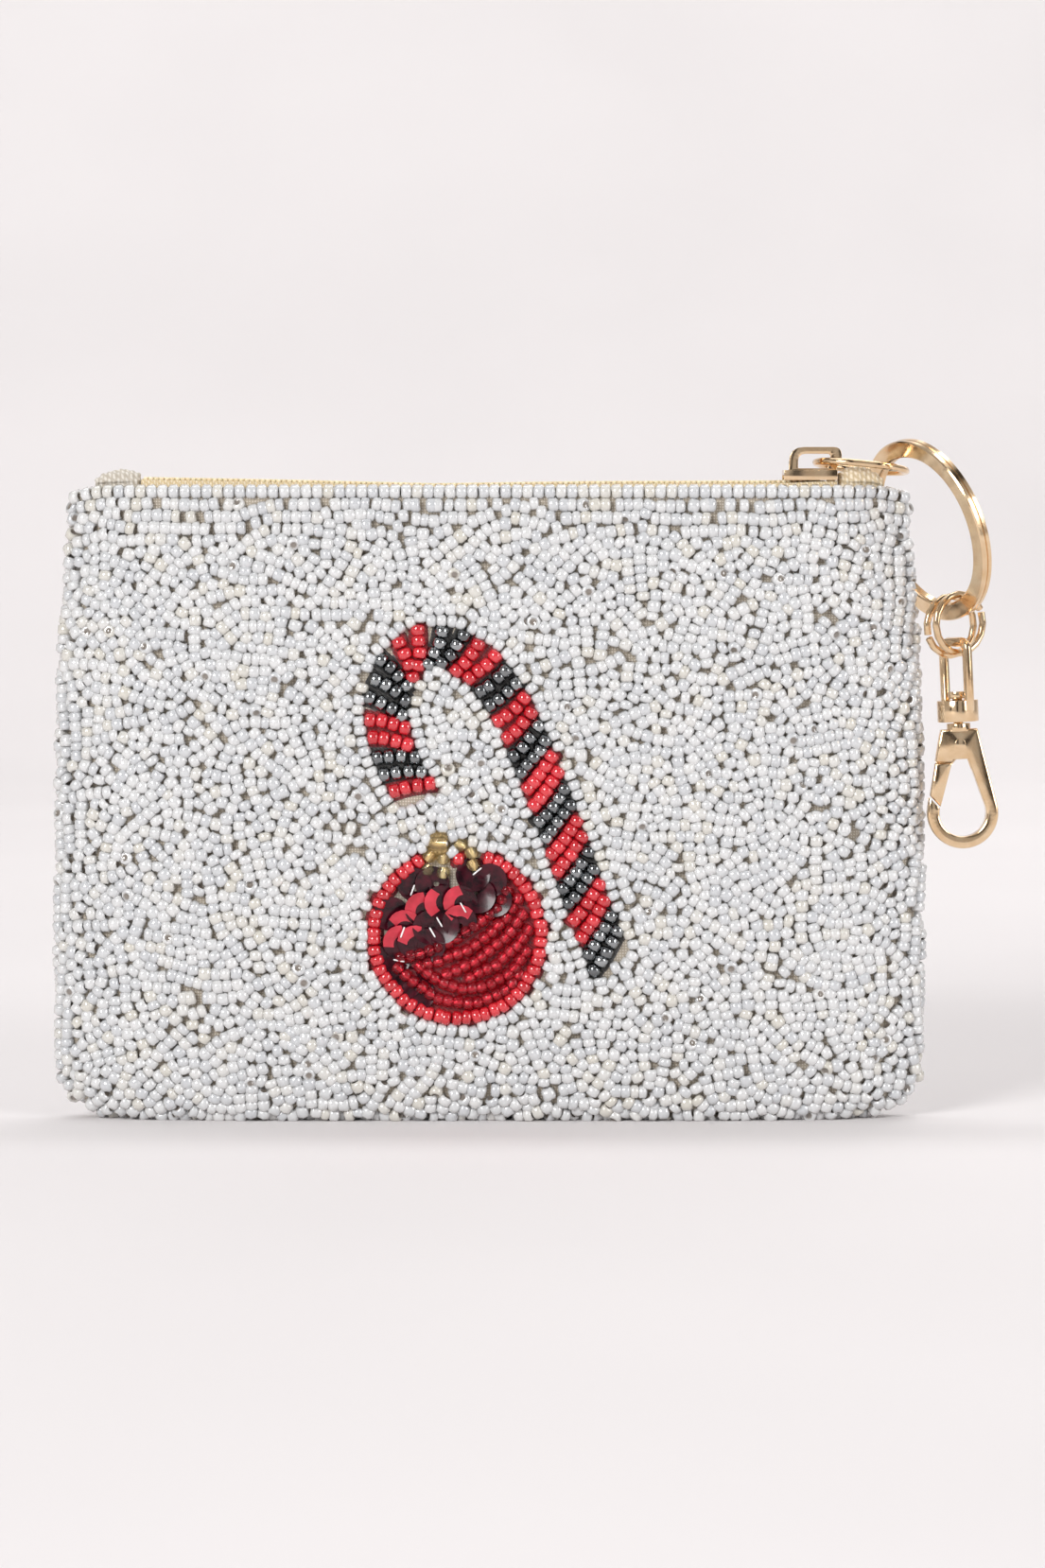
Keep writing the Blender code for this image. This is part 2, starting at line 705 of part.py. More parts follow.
combine(hook, disc(PIN_HEAD_RADIUS, head_low, head_low + PIN_HEAD_HEIGHT, steps=16), 'UNION')


# Gate: the sprung lever that closes the hook, a thin hub in the fork and a full arm

gate_frame = bpy.data.objects.new("gate_axis", None)
parts.objects.link(gate_frame)
gate_frame.parent = swivel
gate_frame.location = (0.0, 0.0, -PIVOT_DROP)


def to_gate(point):
    """From the hook's frame to the gate's, whose origin is on the rivet."""
    return (point[0], point[1] + PIVOT_DROP)


def flank_x(top_half, top, radius, z):
    """Where a teardrop's left flank is at a height above its round bottom."""
    points = teardrop(top_half, top, radius, circle_z)
    (x0, z0), (x1, z1) = points[1], points[2]
    return x0 + (x1 - x0) * (z - z0) / (z1 - z0)


def on_nose(flank_top, flank_z, radius):
    """Where the gate's end cut meets a flank."""
    tip_a, tip_b = nose_line(half_gap)
    for i in range(60):
        share = i / 59
        point = tip_a.lerp(tip_b, share)
        if point.x > flank_x(flank_top, flank_z, radius, point.y):
            return point
    return tip_b


arm_top = -GATE_DROP - CLEARANCE
outer_top = flank_x(HOOK_SHOULDER, neck_low, HOOK_RADIUS, arm_top)
inner_top = flank_x(WINDOW_TOP_HALF, -WINDOW_DROP, inner_radius, arm_top)
outer_tip = on_nose(HOOK_SHOULDER, neck_low, HOOK_RADIUS)
inner_tip = on_nose(WINDOW_TOP_HALF, -WINDOW_DROP, inner_radius)
arm = [to_gate(point) for point in
       ((outer_top, arm_top), (outer_tip.x, outer_tip.y), (inner_tip.x, inner_tip.y),
        (inner_top, arm_top))]
gate = place(plate([arm], GATE_THICKNESS, HOOK_EDGE), "hook_gate", gold, gate_frame)
hub = []
for i in range(13):
    angle = math.radians(60 - 240 * i / 12)
    hub.append((GATE_HUB_RADIUS * math.cos(angle), GATE_HUB_RADIUS * math.sin(angle)))
tongue_low = arm_top - HOOK_ARM / 2
tongue_in = flank_x(WINDOW_TOP_HALF, -WINDOW_DROP, inner_radius, tongue_low) - HOOK_EDGE
tongue_out = flank_x(HOOK_SHOULDER, neck_low, HOOK_RADIUS, tongue_low) + HOOK_EDGE
tongue = [(GATE_HUB_RADIUS * math.cos(math.radians(100 + 50 * i)),
           GATE_HUB_RADIUS * math.sin(math.radians(100 + 50 * i))) for i in range(2)]
tongue.append(to_gate((tongue_out, arm_top + HOOK_ARM / 2)))
tongue.append(to_gate((tongue_out, tongue_low)))
tongue.append(to_gate((tongue_in, tongue_low)))
for i in range(9):
    angle = math.radians(-80 + 180 * i / 9)
    tongue.append((GATE_HUB_RADIUS * math.cos(angle), GATE_HUB_RADIUS * math.sin(angle)))
combine(gate, plate([tongue], GATE_TONGUE), 'UNION')
combine(gate, disc(RIVET_RADIUS + CLEARANCE, -HOOK_THICKNESS, HOOK_THICKNESS,
                   (0.0, 0.0), 'Y', 12), 'DIFFERENCE')

bpy.context.view_layer.update()
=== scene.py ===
# %% [markdown]
# # A beaded zip pouch
# The pouch is a small flat cloth bag, covered all over with glass seed beads that are sewn on in short
# rows. A candy cane and a tree bauble in coloured beads are on its front. A zip closes the mouth, and a
# split ring on the zip's slider carries a swivel snap hook. The hard pieces come ready from the frame,
# and this lesson dresses them and lays the beads.

# %% Tools and the frame
import math

import bmesh
import bpy
import numpy as np
from mathutils import Matrix, Vector, kdtree, noise
from mathutils.bvhtree import BVHTree


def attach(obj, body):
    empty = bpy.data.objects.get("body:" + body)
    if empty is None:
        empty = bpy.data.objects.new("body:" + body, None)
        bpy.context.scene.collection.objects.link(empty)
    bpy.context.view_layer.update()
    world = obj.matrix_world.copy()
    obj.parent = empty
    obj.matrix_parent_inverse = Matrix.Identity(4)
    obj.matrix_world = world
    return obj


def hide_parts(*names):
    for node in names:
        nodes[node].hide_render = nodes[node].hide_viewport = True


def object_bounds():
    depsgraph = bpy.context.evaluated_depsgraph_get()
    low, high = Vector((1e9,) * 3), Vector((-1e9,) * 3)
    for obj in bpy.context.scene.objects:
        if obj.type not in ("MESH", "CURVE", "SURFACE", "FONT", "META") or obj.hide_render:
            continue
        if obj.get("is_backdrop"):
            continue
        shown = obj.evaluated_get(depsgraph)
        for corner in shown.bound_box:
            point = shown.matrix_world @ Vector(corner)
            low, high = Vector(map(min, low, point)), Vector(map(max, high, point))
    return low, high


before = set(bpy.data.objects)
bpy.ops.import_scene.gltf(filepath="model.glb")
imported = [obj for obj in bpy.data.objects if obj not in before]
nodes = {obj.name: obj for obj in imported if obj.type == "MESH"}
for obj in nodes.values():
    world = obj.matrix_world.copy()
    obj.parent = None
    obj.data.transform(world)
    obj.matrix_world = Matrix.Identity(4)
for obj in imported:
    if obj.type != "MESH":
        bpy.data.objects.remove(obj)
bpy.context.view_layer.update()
MM = 0.001
rng = np.random.default_rng(11)

# %% [markdown]
# ## The camera
# The photograph was taken from in front and a little above, from about 70 cm. A 100 mm lens gives that
# flat, calm view, in which the pouch is hardly narrowed by distance. The camera looks at the middle of
# the picture, which lies a little to the right of the pouch's middle because of the hook.

# %% Camera
LOOK_AT = Vector((5.3, 0.0, 53.9)) * MM
DISTANCE = 0.70
HEIGHT_ANGLE = math.radians(4.0)

camera_data = bpy.data.cameras.new("camera")
camera_data.lens = 100.0
camera = bpy.data.objects.new("camera", camera_data)
bpy.context.scene.collection.objects.link(camera)
camera.location = LOOK_AT + DISTANCE * Vector((0.0, -math.cos(HEIGHT_ANGLE), math.sin(HEIGHT_ANGLE)))
camera.rotation_euler = (math.pi / 2 - HEIGHT_ANGLE, 0.0, 0.0)
bpy.context.scene.camera = camera
print("camera at", [round(v, 3) for v in camera.location])

# %% [markdown]
# ## Helpers for colours and materials
# Colours are written as hex codes, as a paint chart gives them, but a shader wants linear light, so one
# function turns them. A second adds a node to a material, with its options and links in one line.

# %% Colour and node helpers
def srgb(code):
    """Linear colour of a hex code."""
    parts = [int(code[i:i + 2], 16) / 255 for i in (0, 2, 4)]
    return tuple(c / 12.92 if c <= 0.04045 else ((c + 0.055) / 1.055) ** 2.4 for c in parts) + (1.0,)


def add(mat, kind, inputs=(), **options):
    """Adds a node. Each input gets a value, or a link from a pair (node, output name)."""
    node = mat.node_tree.nodes.new(kind)
    for option, value in options.items():
        setattr(node, option, value)
    for socket, value in dict(inputs).items():
        if isinstance(value, tuple) and isinstance(value[0], bpy.types.Node):
            mat.node_tree.links.new(value[0].outputs[value[1]], node.inputs[socket])
        else:
            node.inputs[socket].default_value = value
    return node


def shade(name, colour, roughness, **sockets):
    """A new material with one Principled shader, and the shader itself."""
    mat = bpy.data.materials.new(name)
    mat.use_nodes = True
    shader = mat.node_tree.nodes["Principled BSDF"]
    shader.inputs["Base Color"].default_value = srgb(colour)
    shader.inputs["Roughness"].default_value = roughness
    for socket, value in sockets.items():
        shader.inputs[socket.replace("_", " ")].default_value = value
    return mat, shader


def ramp(mat, source, stops, output="Color"):
    """A colour ramp on a value, from pairs (place, hex code)."""
    node = add(mat, "ShaderNodeValToRGB", {"Fac": source})
    while len(node.color_ramp.elements) < len(stops):
        node.color_ramp.elements.new(0.5)
    for element, (place, code) in zip(node.color_ramp.elements, stops):
        element.position = place
        element.color = srgb(code)
    return (node, output)


def wire_up(mat, shader, **links):
    """Links node outputs to the shader's sockets."""
    for socket, (node, output) in links.items():
        mat.node_tree.links.new(node.outputs[output], shader.inputs[socket.replace("_", " ")])


def ribs(period):
    """The scale at which a wave texture repeats after this many metres."""
    return math.tau / (20 * period)


print("helpers ready")

# %% [markdown]
# ## Helpers for pieces
# A piece from the frame arrives as loose triangles. A merged copy of it can be bevelled and shaded
# smooth, and then stands for the plain solid. Every new piece names the body that it moves with.

# %% Piece helpers
WELD = 0.002 * MM


def keep(name, bm, mat, body, replaced=(), smooth_angle=40.0):
    """Makes an object of a bmesh, with a material, smooth shading and a body to ride on."""
    mesh = bpy.data.meshes.new(name)
    bm.to_mesh(mesh)
    bm.free()
    mesh.materials.append(mat)
    mesh.shade_smooth()
    mesh.set_sharp_from_angle(angle=math.radians(smooth_angle))
    piece = bpy.data.objects.new(name, mesh)
    bpy.context.scene.collection.objects.link(piece)
    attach(piece, body)
    if replaced:
        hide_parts(*replaced)
    return piece


def merged_copy(node):
    """A bmesh copy of a frame node with its triangles joined into one skin."""
    bm = bmesh.new()
    bm.from_mesh(nodes[node].data)
    bmesh.ops.remove_doubles(bm, verts=bm.verts, dist=WELD)
    bmesh.ops.recalc_face_normals(bm, faces=bm.faces)
    return bm


def softened(node, name, mat, body, width, angle=35.0):
    """A copy of a hard node with its sharp edges rounded by the polishing."""
    bm = merged_copy(node)
    bmesh.ops.dissolve_limit(bm, angle_limit=math.radians(1.0), verts=bm.verts, edges=bm.edges)
    sharp = [e for e in bm.edges if e.is_manifold and e.calc_face_angle() > math.radians(angle)]
    bmesh.ops.bevel(bm, geom=sharp, offset=width, affect="EDGES", segments=2, profile=0.5,
                    material=-1, clamp_overlap=True)
    bmesh.ops.triangulate(bm, faces=[f for f in bm.faces if len(f.verts) > 4])
    return keep(name, bm, mat, body, (node,), 50.0)


print("pieces in the frame:", len(nodes))

# %% [markdown]
# ## The cloth bag
# Under the beads is a bag of warm grey beige cloth, which shows as a thin line between the beads. It is
# made from the frame's solid: the outer skin moves in by most of a bead's thickness, and the inner wall
# stays where it is, so the bag keeps its inside.

# %% Cloth bag
BEAD = 2.1 * MM
CLOTH_DEPTH = 1.4 * MM
RIM_DROP, RIM_BAND = 0.7 * MM, 2 * MM
WEAVE = 0.45 * MM
MIDDLE_X, LOW_Z, HIGH_Z = 62 * MM, 8 * MM, 92 * MM


def outward(face):
    """True for a face of the bag's outer skin, which looks away from the bag's middle sheet."""
    c = face.calc_center_median()
    inner = Vector((min(max(c.x, -MIDDLE_X), MIDDLE_X), 0.0, min(max(c.z, LOW_Z), HIGH_Z)))
    return face.normal.dot(c - inner) > 0 and face.normal.z < 0.7


bag = merged_copy("beaded_body")
rim_height = max(v.co.z for v in bag.verts)
skin = [f for f in bag.faces if outward(f)]
outer = {v for f in skin for v in f.verts}
shift = {v: -CLOTH_DEPTH * v.normal for v in outer}
for v in bag.verts:
    if v in outer:
        v.co += Vector((shift[v].x, shift[v].y, max(shift[v].z, 0.0)))
    if v.co.z > rim_height - RIM_BAND:
        v.co.z -= RIM_DROP

cloth, cloth_shader = shade("cotton lining cloth", "A79C8C", 0.85, Sheen_Weight=0.3)
threads = add(cloth, "ShaderNodeTexCoord")
weave = [add(cloth, "ShaderNodeTexWave", {"Vector": (threads, "Object"), "Scale": ribs(WEAVE),
                                          "Distortion": 0.6, "Detail": 1.0}, bands_direction=d) for d in "XZ"]
woven = add(cloth, "ShaderNodeMath", {0: (weave[0], "Fac"), 1: (weave[1], "Fac")}, operation="MULTIPLY")
raised = add(cloth, "ShaderNodeBump", {"Height": (woven, "Value"), "Strength": 0.6, "Distance": 0.1 * MM})
wire_up(cloth, cloth_shader, Base_Color=ramp(cloth, (woven, "Value"), [(0.0, "A59A8A"), (1.0, "DCD4C7")]),
        Normal=(raised, "Normal"))
keep("cloth_bag", bag, cloth, "pouch", ("beaded_body",))
print("bag rim at", round(rim_height / MM, 1), "mm,", len(skin), "faces of outer skin")

# %% [markdown]
# ## Where the beads lie
# The beads' middles lie half a bead under the frame's outer skin, all round the front, the sides, the
# bottom and the back. A copy of that skin, moved in by half a bead, is the sheet that every bead is
# dropped on.

# %% The sheet of bead middles
sheet = merged_copy("beaded_body")
bmesh.ops.delete(sheet, geom=[f for f in sheet.faces if not outward(f)], context="FACES")
sheet.normal_update()
moved = [v.co - 0.5 * BEAD * v.normal for v in sheet.verts]
for v, place in zip(sheet.verts, moved):
    v.co = Vector((place.x, place.y, min(place.z, rim_height - 0.5 * BEAD)))
sheet.normal_update()
skin_tree = BVHTree.FromBMesh(sheet)
print("sheet of bead middles:", len(sheet.faces), "faces")


def drop(points):
    """Moves points on to the sheet, and gives the sheet's normals there."""
    found = [skin_tree.find_nearest(Vector(p)) for p in points]
    return np.array([f[0] for f in found]), np.array([f[1] for f in found])


def on_front(x, z):
    """The place on the front at a given width and height, in mm."""
    hit = skin_tree.ray_cast(Vector((x * MM, -0.05, z * MM)), Vector((0, 1, 0)))
    return np.array(hit[0] if hit[0] else skin_tree.find_nearest(Vector((x * MM, -0.006, z * MM)))[0])


# %% [markdown]
# ## One seed bead
# A seed bead is a short piece of glass tube whose cut ends were melted round. It is drawn as half a
# section and spun round its hole. The beads are repeated thousands of times, so eight sides are enough,
# and smooth shading does the rest. The attribute named bore marks the hole, which the material paints
# dark as painted shade for the deep hole and the thread in it.

# %% Bead shape
def bead_mesh(name, length, diameter, hole=0.36, sides=8):
    """A glass bead along X, made by spinning half its section."""
    h, r = length / 2, diameter / 2 / math.cos(math.pi / sides / 2) ** 2
    section = [(-0.74 * h, hole * r), (-h, 0.65 * r), (-0.57 * h, r), (0.57 * h, r), (h, 0.65 * r),
               (0.74 * h, hole * r)]
    bm = bmesh.new()
    points = [bm.verts.new((x, 0.0, z)) for x, z in section]
    lines = [bm.edges.new(pair) for pair in zip(points, points[1:])]
    bmesh.ops.spin(bm, geom=points + lines, axis=(1, 0, 0), cent=(0, 0, 0), angle=2 * math.pi, steps=sides,
                   use_merge=True)
    bmesh.ops.holes_fill(bm, edges=[e for e in bm.edges if e.is_boundary], sides=0)
    bmesh.ops.recalc_face_normals(bm, faces=bm.faces)
    # bore marks the hole's ends, where the material paints the shade of the hole.
    bore = bm.verts.layers.float.new("bore")
    for v in bm.verts:
        v[bore] = 1.0 if abs(v.co.x) < 0.8 * h and math.hypot(v.co.y, v.co.z) < 0.5 * r else 0.0
    mesh = bpy.data.meshes.new(name)
    bm.to_mesh(mesh)
    bm.free()
    return mesh


unit_bead = bead_mesh("bead", 1.0, 1.0)
print("one bead:", len(unit_bead.polygons), "faces")

# %% [markdown]
# ## Copying beads
# All beads of one colour go into one joined mesh. Arrays do it: the bead's points are turned and moved
# by each bead's own matrix, and each bead gets a random tint number that its material reads.

# %% Bead copier
def spread(name, shape, places, mat, body="pouch"):
    """Copies a shape to every 4 by 4 matrix in places, as one mesh."""
    count, corners, faces = len(shape.vertices), len(shape.loops), len(shape.polygons)
    points = np.empty(count * 3)
    shape.vertices.foreach_get("co", points)
    loops, starts, bore = np.empty(corners, int), np.empty(faces, int), np.zeros(count)
    shape.loops.foreach_get("vertex_index", loops)
    shape.polygons.foreach_get("loop_start", starts)
    if "bore" in shape.attributes:
        shape.attributes["bore"].data.foreach_get("value", bore)
    steps = np.arange(len(places))[:, None]
    mesh = bpy.data.meshes.new(name)
    mesh.vertices.add(count * len(places))
    mesh.loops.add(corners * len(places))
    mesh.polygons.add(faces * len(places))
    turned = np.einsum("nij,vj->nvi", places[:, :3, :3], points.reshape(-1, 3)) + places[:, None, :3, 3]
    mesh.vertices.foreach_set("co", turned.ravel())
    mesh.loops.foreach_set("vertex_index", (loops + count * steps).ravel())
    mesh.polygons.foreach_set("loop_start", (starts + corners * steps).ravel())
    mesh.update(calc_edges=True)
    tint = np.repeat(rng.random(len(places)), count)
    mesh.attributes.new("tint", "FLOAT", "POINT").data.foreach_set("value", tint)
    mesh.attributes.new("bore", "FLOAT", "POINT").data.foreach_set("value", np.tile(bore, len(places)))
    mesh.shade_smooth()
    mesh.materials.append(mat)
    piece = bpy.data.objects.new(name, mesh)
    bpy.context.scene.collection.objects.link(piece)
    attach(piece, body)
    return piece


def unit(rows):
    """Rows of vectors at length one."""
    return rows / np.maximum(np.linalg.norm(rows, axis=-1, keepdims=True), 1e-12)


def matrices(points, axes, normals, lengths, widths):
    """One matrix a bead: its X along the thread, its Z off the cloth."""
    x = unit(axes)
    y = unit(np.cross(normals, x))
    z = np.cross(x, y)
    out = np.zeros((len(points), 4, 4))
    for column, (way, size) in enumerate(((x, lengths), (y, widths), (z, widths))):
        out[:, :3, column] = way * size[:, None]
    out[:, :3, 3], out[:, 3, 3] = points, 1.0
    return out


# %% [markdown]
# ## The candy cane
# The cane is 32 short rows of four beads, laid across a bent line: opaque red and metallic gunmetal
# stripes in turn. Near the crook the rows stand square to the line, and down the long limb they slant,
# as the stripes of a twisted sugar stick do. The line is in millimetres across and up the front.

# %% Candy cane rows
CANE_LINE = [(-11.7, 52.9), (-13.8, 56.0), (-15.6, 60.4), (-16.5, 66.2), (-15.0, 72.4), (-11.3, 76.0),
             (-6.3, 76.0), (-1.4, 73.3), (2.0, 68.9), (4.8, 63.6), (7.5, 57.4), (9.6, 52.1), (11.9, 45.8),
             (14.1, 39.6), (16.2, 33.4), (19.0, 26.7)]
CANE_STRIPES = [("red", 1), ("grey", 2), ("red", 2), ("grey", 3)] + 6 * [("red", 2), ("grey", 2)]
CANE_WIDTH, CANE_START, CANE_END = 6.9, 0.012, 0.988
ROW_BEAD, ROW_GAP, ROW_BOW = 1.7, 1.75, 0.25
CANE_BEAD = (1.8, 2.35)
SLANTS = [(0.0, -23), (0.1, -22), (0.33, -22), (0.4, -8), (0.45, 0), (0.5, 10), (0.57, 26), (0.65, 32),
          (1.0, 38)]


def along(line, gap, closed=False):
    """Evenly spaced points and directions on a bent line."""
    line = np.array(line + line[:1] if closed else line, float)
    run = np.concatenate([[0], np.cumsum(np.linalg.norm(np.diff(line, axis=0), axis=1))])
    count = max(2, int(round(run[-1] / gap)) + (0 if closed else 1))
    at = np.linspace(0, run[-1], count, endpoint=not closed)
    spots = np.stack([np.interp(at, run, line[:, k]) for k in range(2)], axis=1)
    ahead = np.stack([np.interp(np.minimum(at + 1.0, run[-1]), run, line[:, k]) for k in range(2)], axis=1)
    back = np.stack([np.interp(np.maximum(at - 1.0, 0), run, line[:, k]) for k in range(2)], axis=1)
    return spots, unit(ahead - back), at / run[-1]


class Figure:
    """Beads laid one by one on the front: places, thread directions, kinds and sizes."""

    def __init__(self):
        self.spots, self.threads, self.kinds, self.sizes = [], [], [], []

    def lay(self, spots, kind, size=(1.75, 2.15), least=0.0):
        """Strings beads of one kind on a row of spots, and skips those that would sit on others."""
        spots = np.array(spots)
        threads = unit(np.gradient(spots, axis=0)) if len(spots) > 1 else np.array([[1.0, 0.0]])
        for spot, thread in zip(spots, threads):
            if least and self.spots and np.linalg.norm(np.array(self.spots) - spot, axis=1).min() < least:
                continue
            self.spots.append(spot + rng.normal(0, 0.07, 2))
            self.threads.append(thread)
            self.kinds.append(kind)
            self.sizes.append(size)


figure = Figure()
rows = [kind for kind, count in CANE_STRIPES for _ in range(count)]
middle, heading, share = along(CANE_LINE, 1.0)
cane_run = np.linspace(CANE_START, CANE_END, len(rows))
for place, kind in zip(cane_run, rows):
    spot = np.array([np.interp(place, share, middle[:, k]) for k in range(2)])
    ahead = unit(np.array([np.interp(place, share, heading[:, k]) for k in range(2)]))
    slant = math.radians(np.interp(place, *zip(*SLANTS)))
    across = np.array([-ahead[1], ahead[0]])
    across = math.cos(slant) * across - math.sin(slant) * ahead
    half = 0.5 * CANE_WIDTH / math.cos(slant) - 0.5 * ROW_BEAD
    reach = np.linspace(-half, half, max(4, int(round(2 * half / ROW_GAP)) + 1))
    bow = ROW_BOW * np.cos(reach / half * math.pi / 2)
    figure.lay([spot + r * across + b * ahead for r, b in zip(reach, bow)], kind, CANE_BEAD)
print("cane rows:", len(rows), "beads:", len(figure.spots))

# %% [markdown]
# ## The bauble
# One ring of opaque red beads draws the bauble. Its lower right is filled with bowed strings of
# silver-lined dark red beads, and its upper left with overlapping sequins. Its cap and loop are gold.

# %% Bauble beads
BAUBLE = np.array([-5.1, 30.1])
BAUBLE_RADIUS, RING_BEADS = 13.35, 48
RING_BEAD, GOLD_BEAD, RUBY_BEAD = (1.62, 2.35), (1.8, 2.1), (1.6, 2.1)
CAP_SPOT, CAP_BEAD = (-7.95, 44.9), (3.0, 3.9)
LOOP_SPOT, LOOP_BEAD = (-4.95, 42.4), (1.7, 2.1)
RUBY_PITCH, RUBY_LEAST = 1.62, 1.2
RING_START, RING_END = math.radians(118.0), math.radians(90.0 + 338.0)
GOLD = [((-9.6, 42.8), 60), ((-7.3, 42.6), 85), ((-9.9, 40.7), 60), ((-7.4, 40.3), 95),
        ((-4.6, 44.7), -35), ((-2.9, 43.6), -60), ((-2.6, 41.5), -50)]
RUBY_STRINGS = [
    [(-9.1, -3.6), (-5.9, -2.9), (-1.2, -1.1), (3.2, 1.9), (6.4, 4.3), (7.9, 7.3)],
    [(-4.6, -4.5), (1.1, -2.7), (5.3, 0.3), (7.8, 2.9), (9.6, 5.8)],
    [(-1.6, -6.2), (3.0, -4.1), (7.3, -0.8), (10.4, 3.3)],
    [(2.0, -6.7), (6.3, -4.6), (9.2, -2.0), (11.3, 1.0)],
    [(-6.0, -5.0), (-3.2, -7.2), (0.2, -8.6), (4.8, -8.1), (8.5, -6.0), (11.0, -2.6)],
    [(-9.4, -5.3), (-6.1, -8.2), (-2.3, -10.5), (2.8, -10.9), (7.4, -9.1), (9.9, -6.4)]]

turn = np.linspace(RING_START, RING_END, RING_BEADS)
figure.lay([BAUBLE + BAUBLE_RADIUS * np.array([math.cos(a), math.sin(a)]) for a in turn], "red", RING_BEAD)
figure.lay([CAP_SPOT], "amber", CAP_BEAD)
for spot, angle in GOLD:
    figure.lay([spot], "gold", GOLD_BEAD)
    figure.threads[-1] = np.array([math.cos(math.radians(angle)), math.sin(math.radians(angle))])
figure.lay([LOOP_SPOT], "red", LOOP_BEAD)
for line in RUBY_STRINGS:
    spots, _, _ = along(line, RUBY_PITCH)
    figure.lay(spots + BAUBLE, "ruby", RUBY_BEAD, RUBY_LEAST)
print("bauble beads so far:", len(figure.spots))

# %% [markdown]
# ## White outlines
# Before the ground is filled, one row of white beads is sewn close round each figure. It keeps the
# figures' edges clean, and the random rows of the ground then start from it.

# %% Outline rows
OUTLINE_GAP, END_ROUND = 1.95, 0.52
CANE_GAP, CANE_PITCH, RING_PITCH = 1.0, 1.7, 1.65
OUTLINE_BEAD, CANE_LEAST, RING_LEAST = (1.6, 2.1), 1.6, 1.75


def offset_line(line, distance):
    """A closed line round a bent line at a given distance."""
    spots, ahead, _ = along(line, 1.0)
    normal = np.stack([-ahead[:, 1], ahead[:, 0]], axis=1)
    left, right = spots + distance * normal, spots - distance * normal
    ends = []
    for spot, direction, start in ((spots[-1], ahead[-1], normal[-1]), (spots[0], -ahead[0], -normal[0])):
        ends.append([spot + distance * (math.cos(a) * start + END_ROUND * math.sin(a) * direction)
                     for a in np.linspace(0.2, math.pi - 0.2, 7)])
    return [tuple(p) for p in [*left, *ends[0], *right[::-1], *ends[1]]]


cane_edge, _, _ = along(offset_line(CANE_LINE, 0.5 * CANE_WIDTH + CANE_GAP), CANE_PITCH, closed=True)
figure.lay(cane_edge, "white", OUTLINE_BEAD, CANE_LEAST)
ring_count = int(2 * math.pi * (BAUBLE_RADIUS + OUTLINE_GAP) / RING_PITCH)
turn = np.linspace(0, 2 * math.pi, ring_count, endpoint=False)
figure.lay([BAUBLE + (BAUBLE_RADIUS + OUTLINE_GAP) * np.array([math.cos(a), math.sin(a)]) for a in turn],
           "white", OUTLINE_BEAD, RING_LEAST)
print("beads laid by hand:", len(figure.spots))

# %% [markdown]
# ## Rows along the rim
# The top edge is finished with one straight row of beads that runs round the mouth, and dips a little
# at the corners. Each bead touches the next, so the edge looks like a cord.

# %% Rim rows
RIM_PITCH, RIM_WIDTH, RIM_END = 1.72, 2.2, 0.3
CORNER_DIP, DIP_START, DIP_LENGTH = 1.3, 60.0, 7.0

rim_edge = np.array([v.co for v in sheet.verts if v.is_boundary]) / MM
rim_spots, rim_threads = [], []
for face in (-1, 1):
    edge = rim_edge[rim_edge[:, 1] * face > 0]
    edge = edge[np.argsort(edge[:, 0])]
    half = edge[-1, 0] - RIM_END
    steps = np.linspace(-half, half, int(2 * half / RIM_PITCH))
    y, z = (np.interp(steps, edge[:, 0], edge[:, k]) for k in (1, 2))
    z = z - CORNER_DIP * np.clip((np.abs(steps) - DIP_START) / DIP_LENGTH, 0, 1) ** 2
    line = np.stack([steps, y, z], axis=1)
    rim_spots += list(line * MM)
    rim_threads += list(unit(np.gradient(line, axis=0)))
print("rim beads:", len(rim_spots), "from", round(-half, 1), "mm, height", round(float(z.max()), 1), "mm")

# %% [markdown]
# ## The ground of white beads
# The white ground is sewn in random short rows of three to six beads, in bowed lines that turn slowly
# this way and that. It is laid as a sewer would: spots spread evenly over the cloth, neighbours joined
# in short strings along a slowly turning direction, and then every bead pushed aside by its neighbours
# until they all lie side by side. The beads laid one by one stay put.

# %% Start of the ground
SPACING, JITTER = 1.83, 0.22 * MM
GROUND_LENGTH, GROUND_WIDTH = 1.60 * MM, 2.12 * MM
FACE_Y, SIDE_X, ACROSS = 7.0, 70.0, (-4.0, -2.0, 0.0, 2.0, 4.0)
CLEAR_OF_FIGURES, CLEAR_OF_OTHERS = 1.5 * MM, 1.05 * MM


def under_figures(places, ring_margin, cane_margin):
    """True for the places on the front that the cane or the bauble covers."""
    x, z = places[:, 0] / MM, places[:, 2] / MM
    covered = np.hypot(x - BAUBLE[0], z - BAUBLE[1]) < BAUBLE_RADIUS + ring_margin
    for spot in middle:
        covered |= np.hypot(x - spot[0], z - spot[1]) < 0.5 * CANE_WIDTH + cane_margin
    return covered & (places[:, 1] < 0)


front = np.array([on_front(x, z) for x, z in figure.spots])
fixed = np.array([*front, *rim_spots])
fixed_axes = np.array([*[(t[0], 0.0, t[1]) for t in figure.threads], *rim_threads])
starts = []
for face in (-1, 1):
    for row, z in enumerate(np.arange(1.2, 99.6, SPACING)):
        for x in np.arange(-68.5, 68.6, SPACING):
            starts.append((x + 0.5 * SPACING * (row % 2), face * FACE_Y, z))
for end in (-1, 1):
    starts += [(end * SIDE_X, y, z) for z in np.arange(2.0, 98.0, SPACING) for y in ACROSS]
starts += [(x, y, 0.0) for x in np.arange(-61.0, 61.1, SPACING) for y in ACROSS]
starts = np.array(starts) * MM + rng.normal(0, JITTER, (len(starts), 3))
free, _ = drop(starts[~under_figures(starts, 1.0, 0.6)])


def tree_of(points):
    """A search tree over points."""
    tree = kdtree.KDTree(len(points))
    for k, p in enumerate(points):
        tree.insert(p, k)
    tree.balance()
    return tree


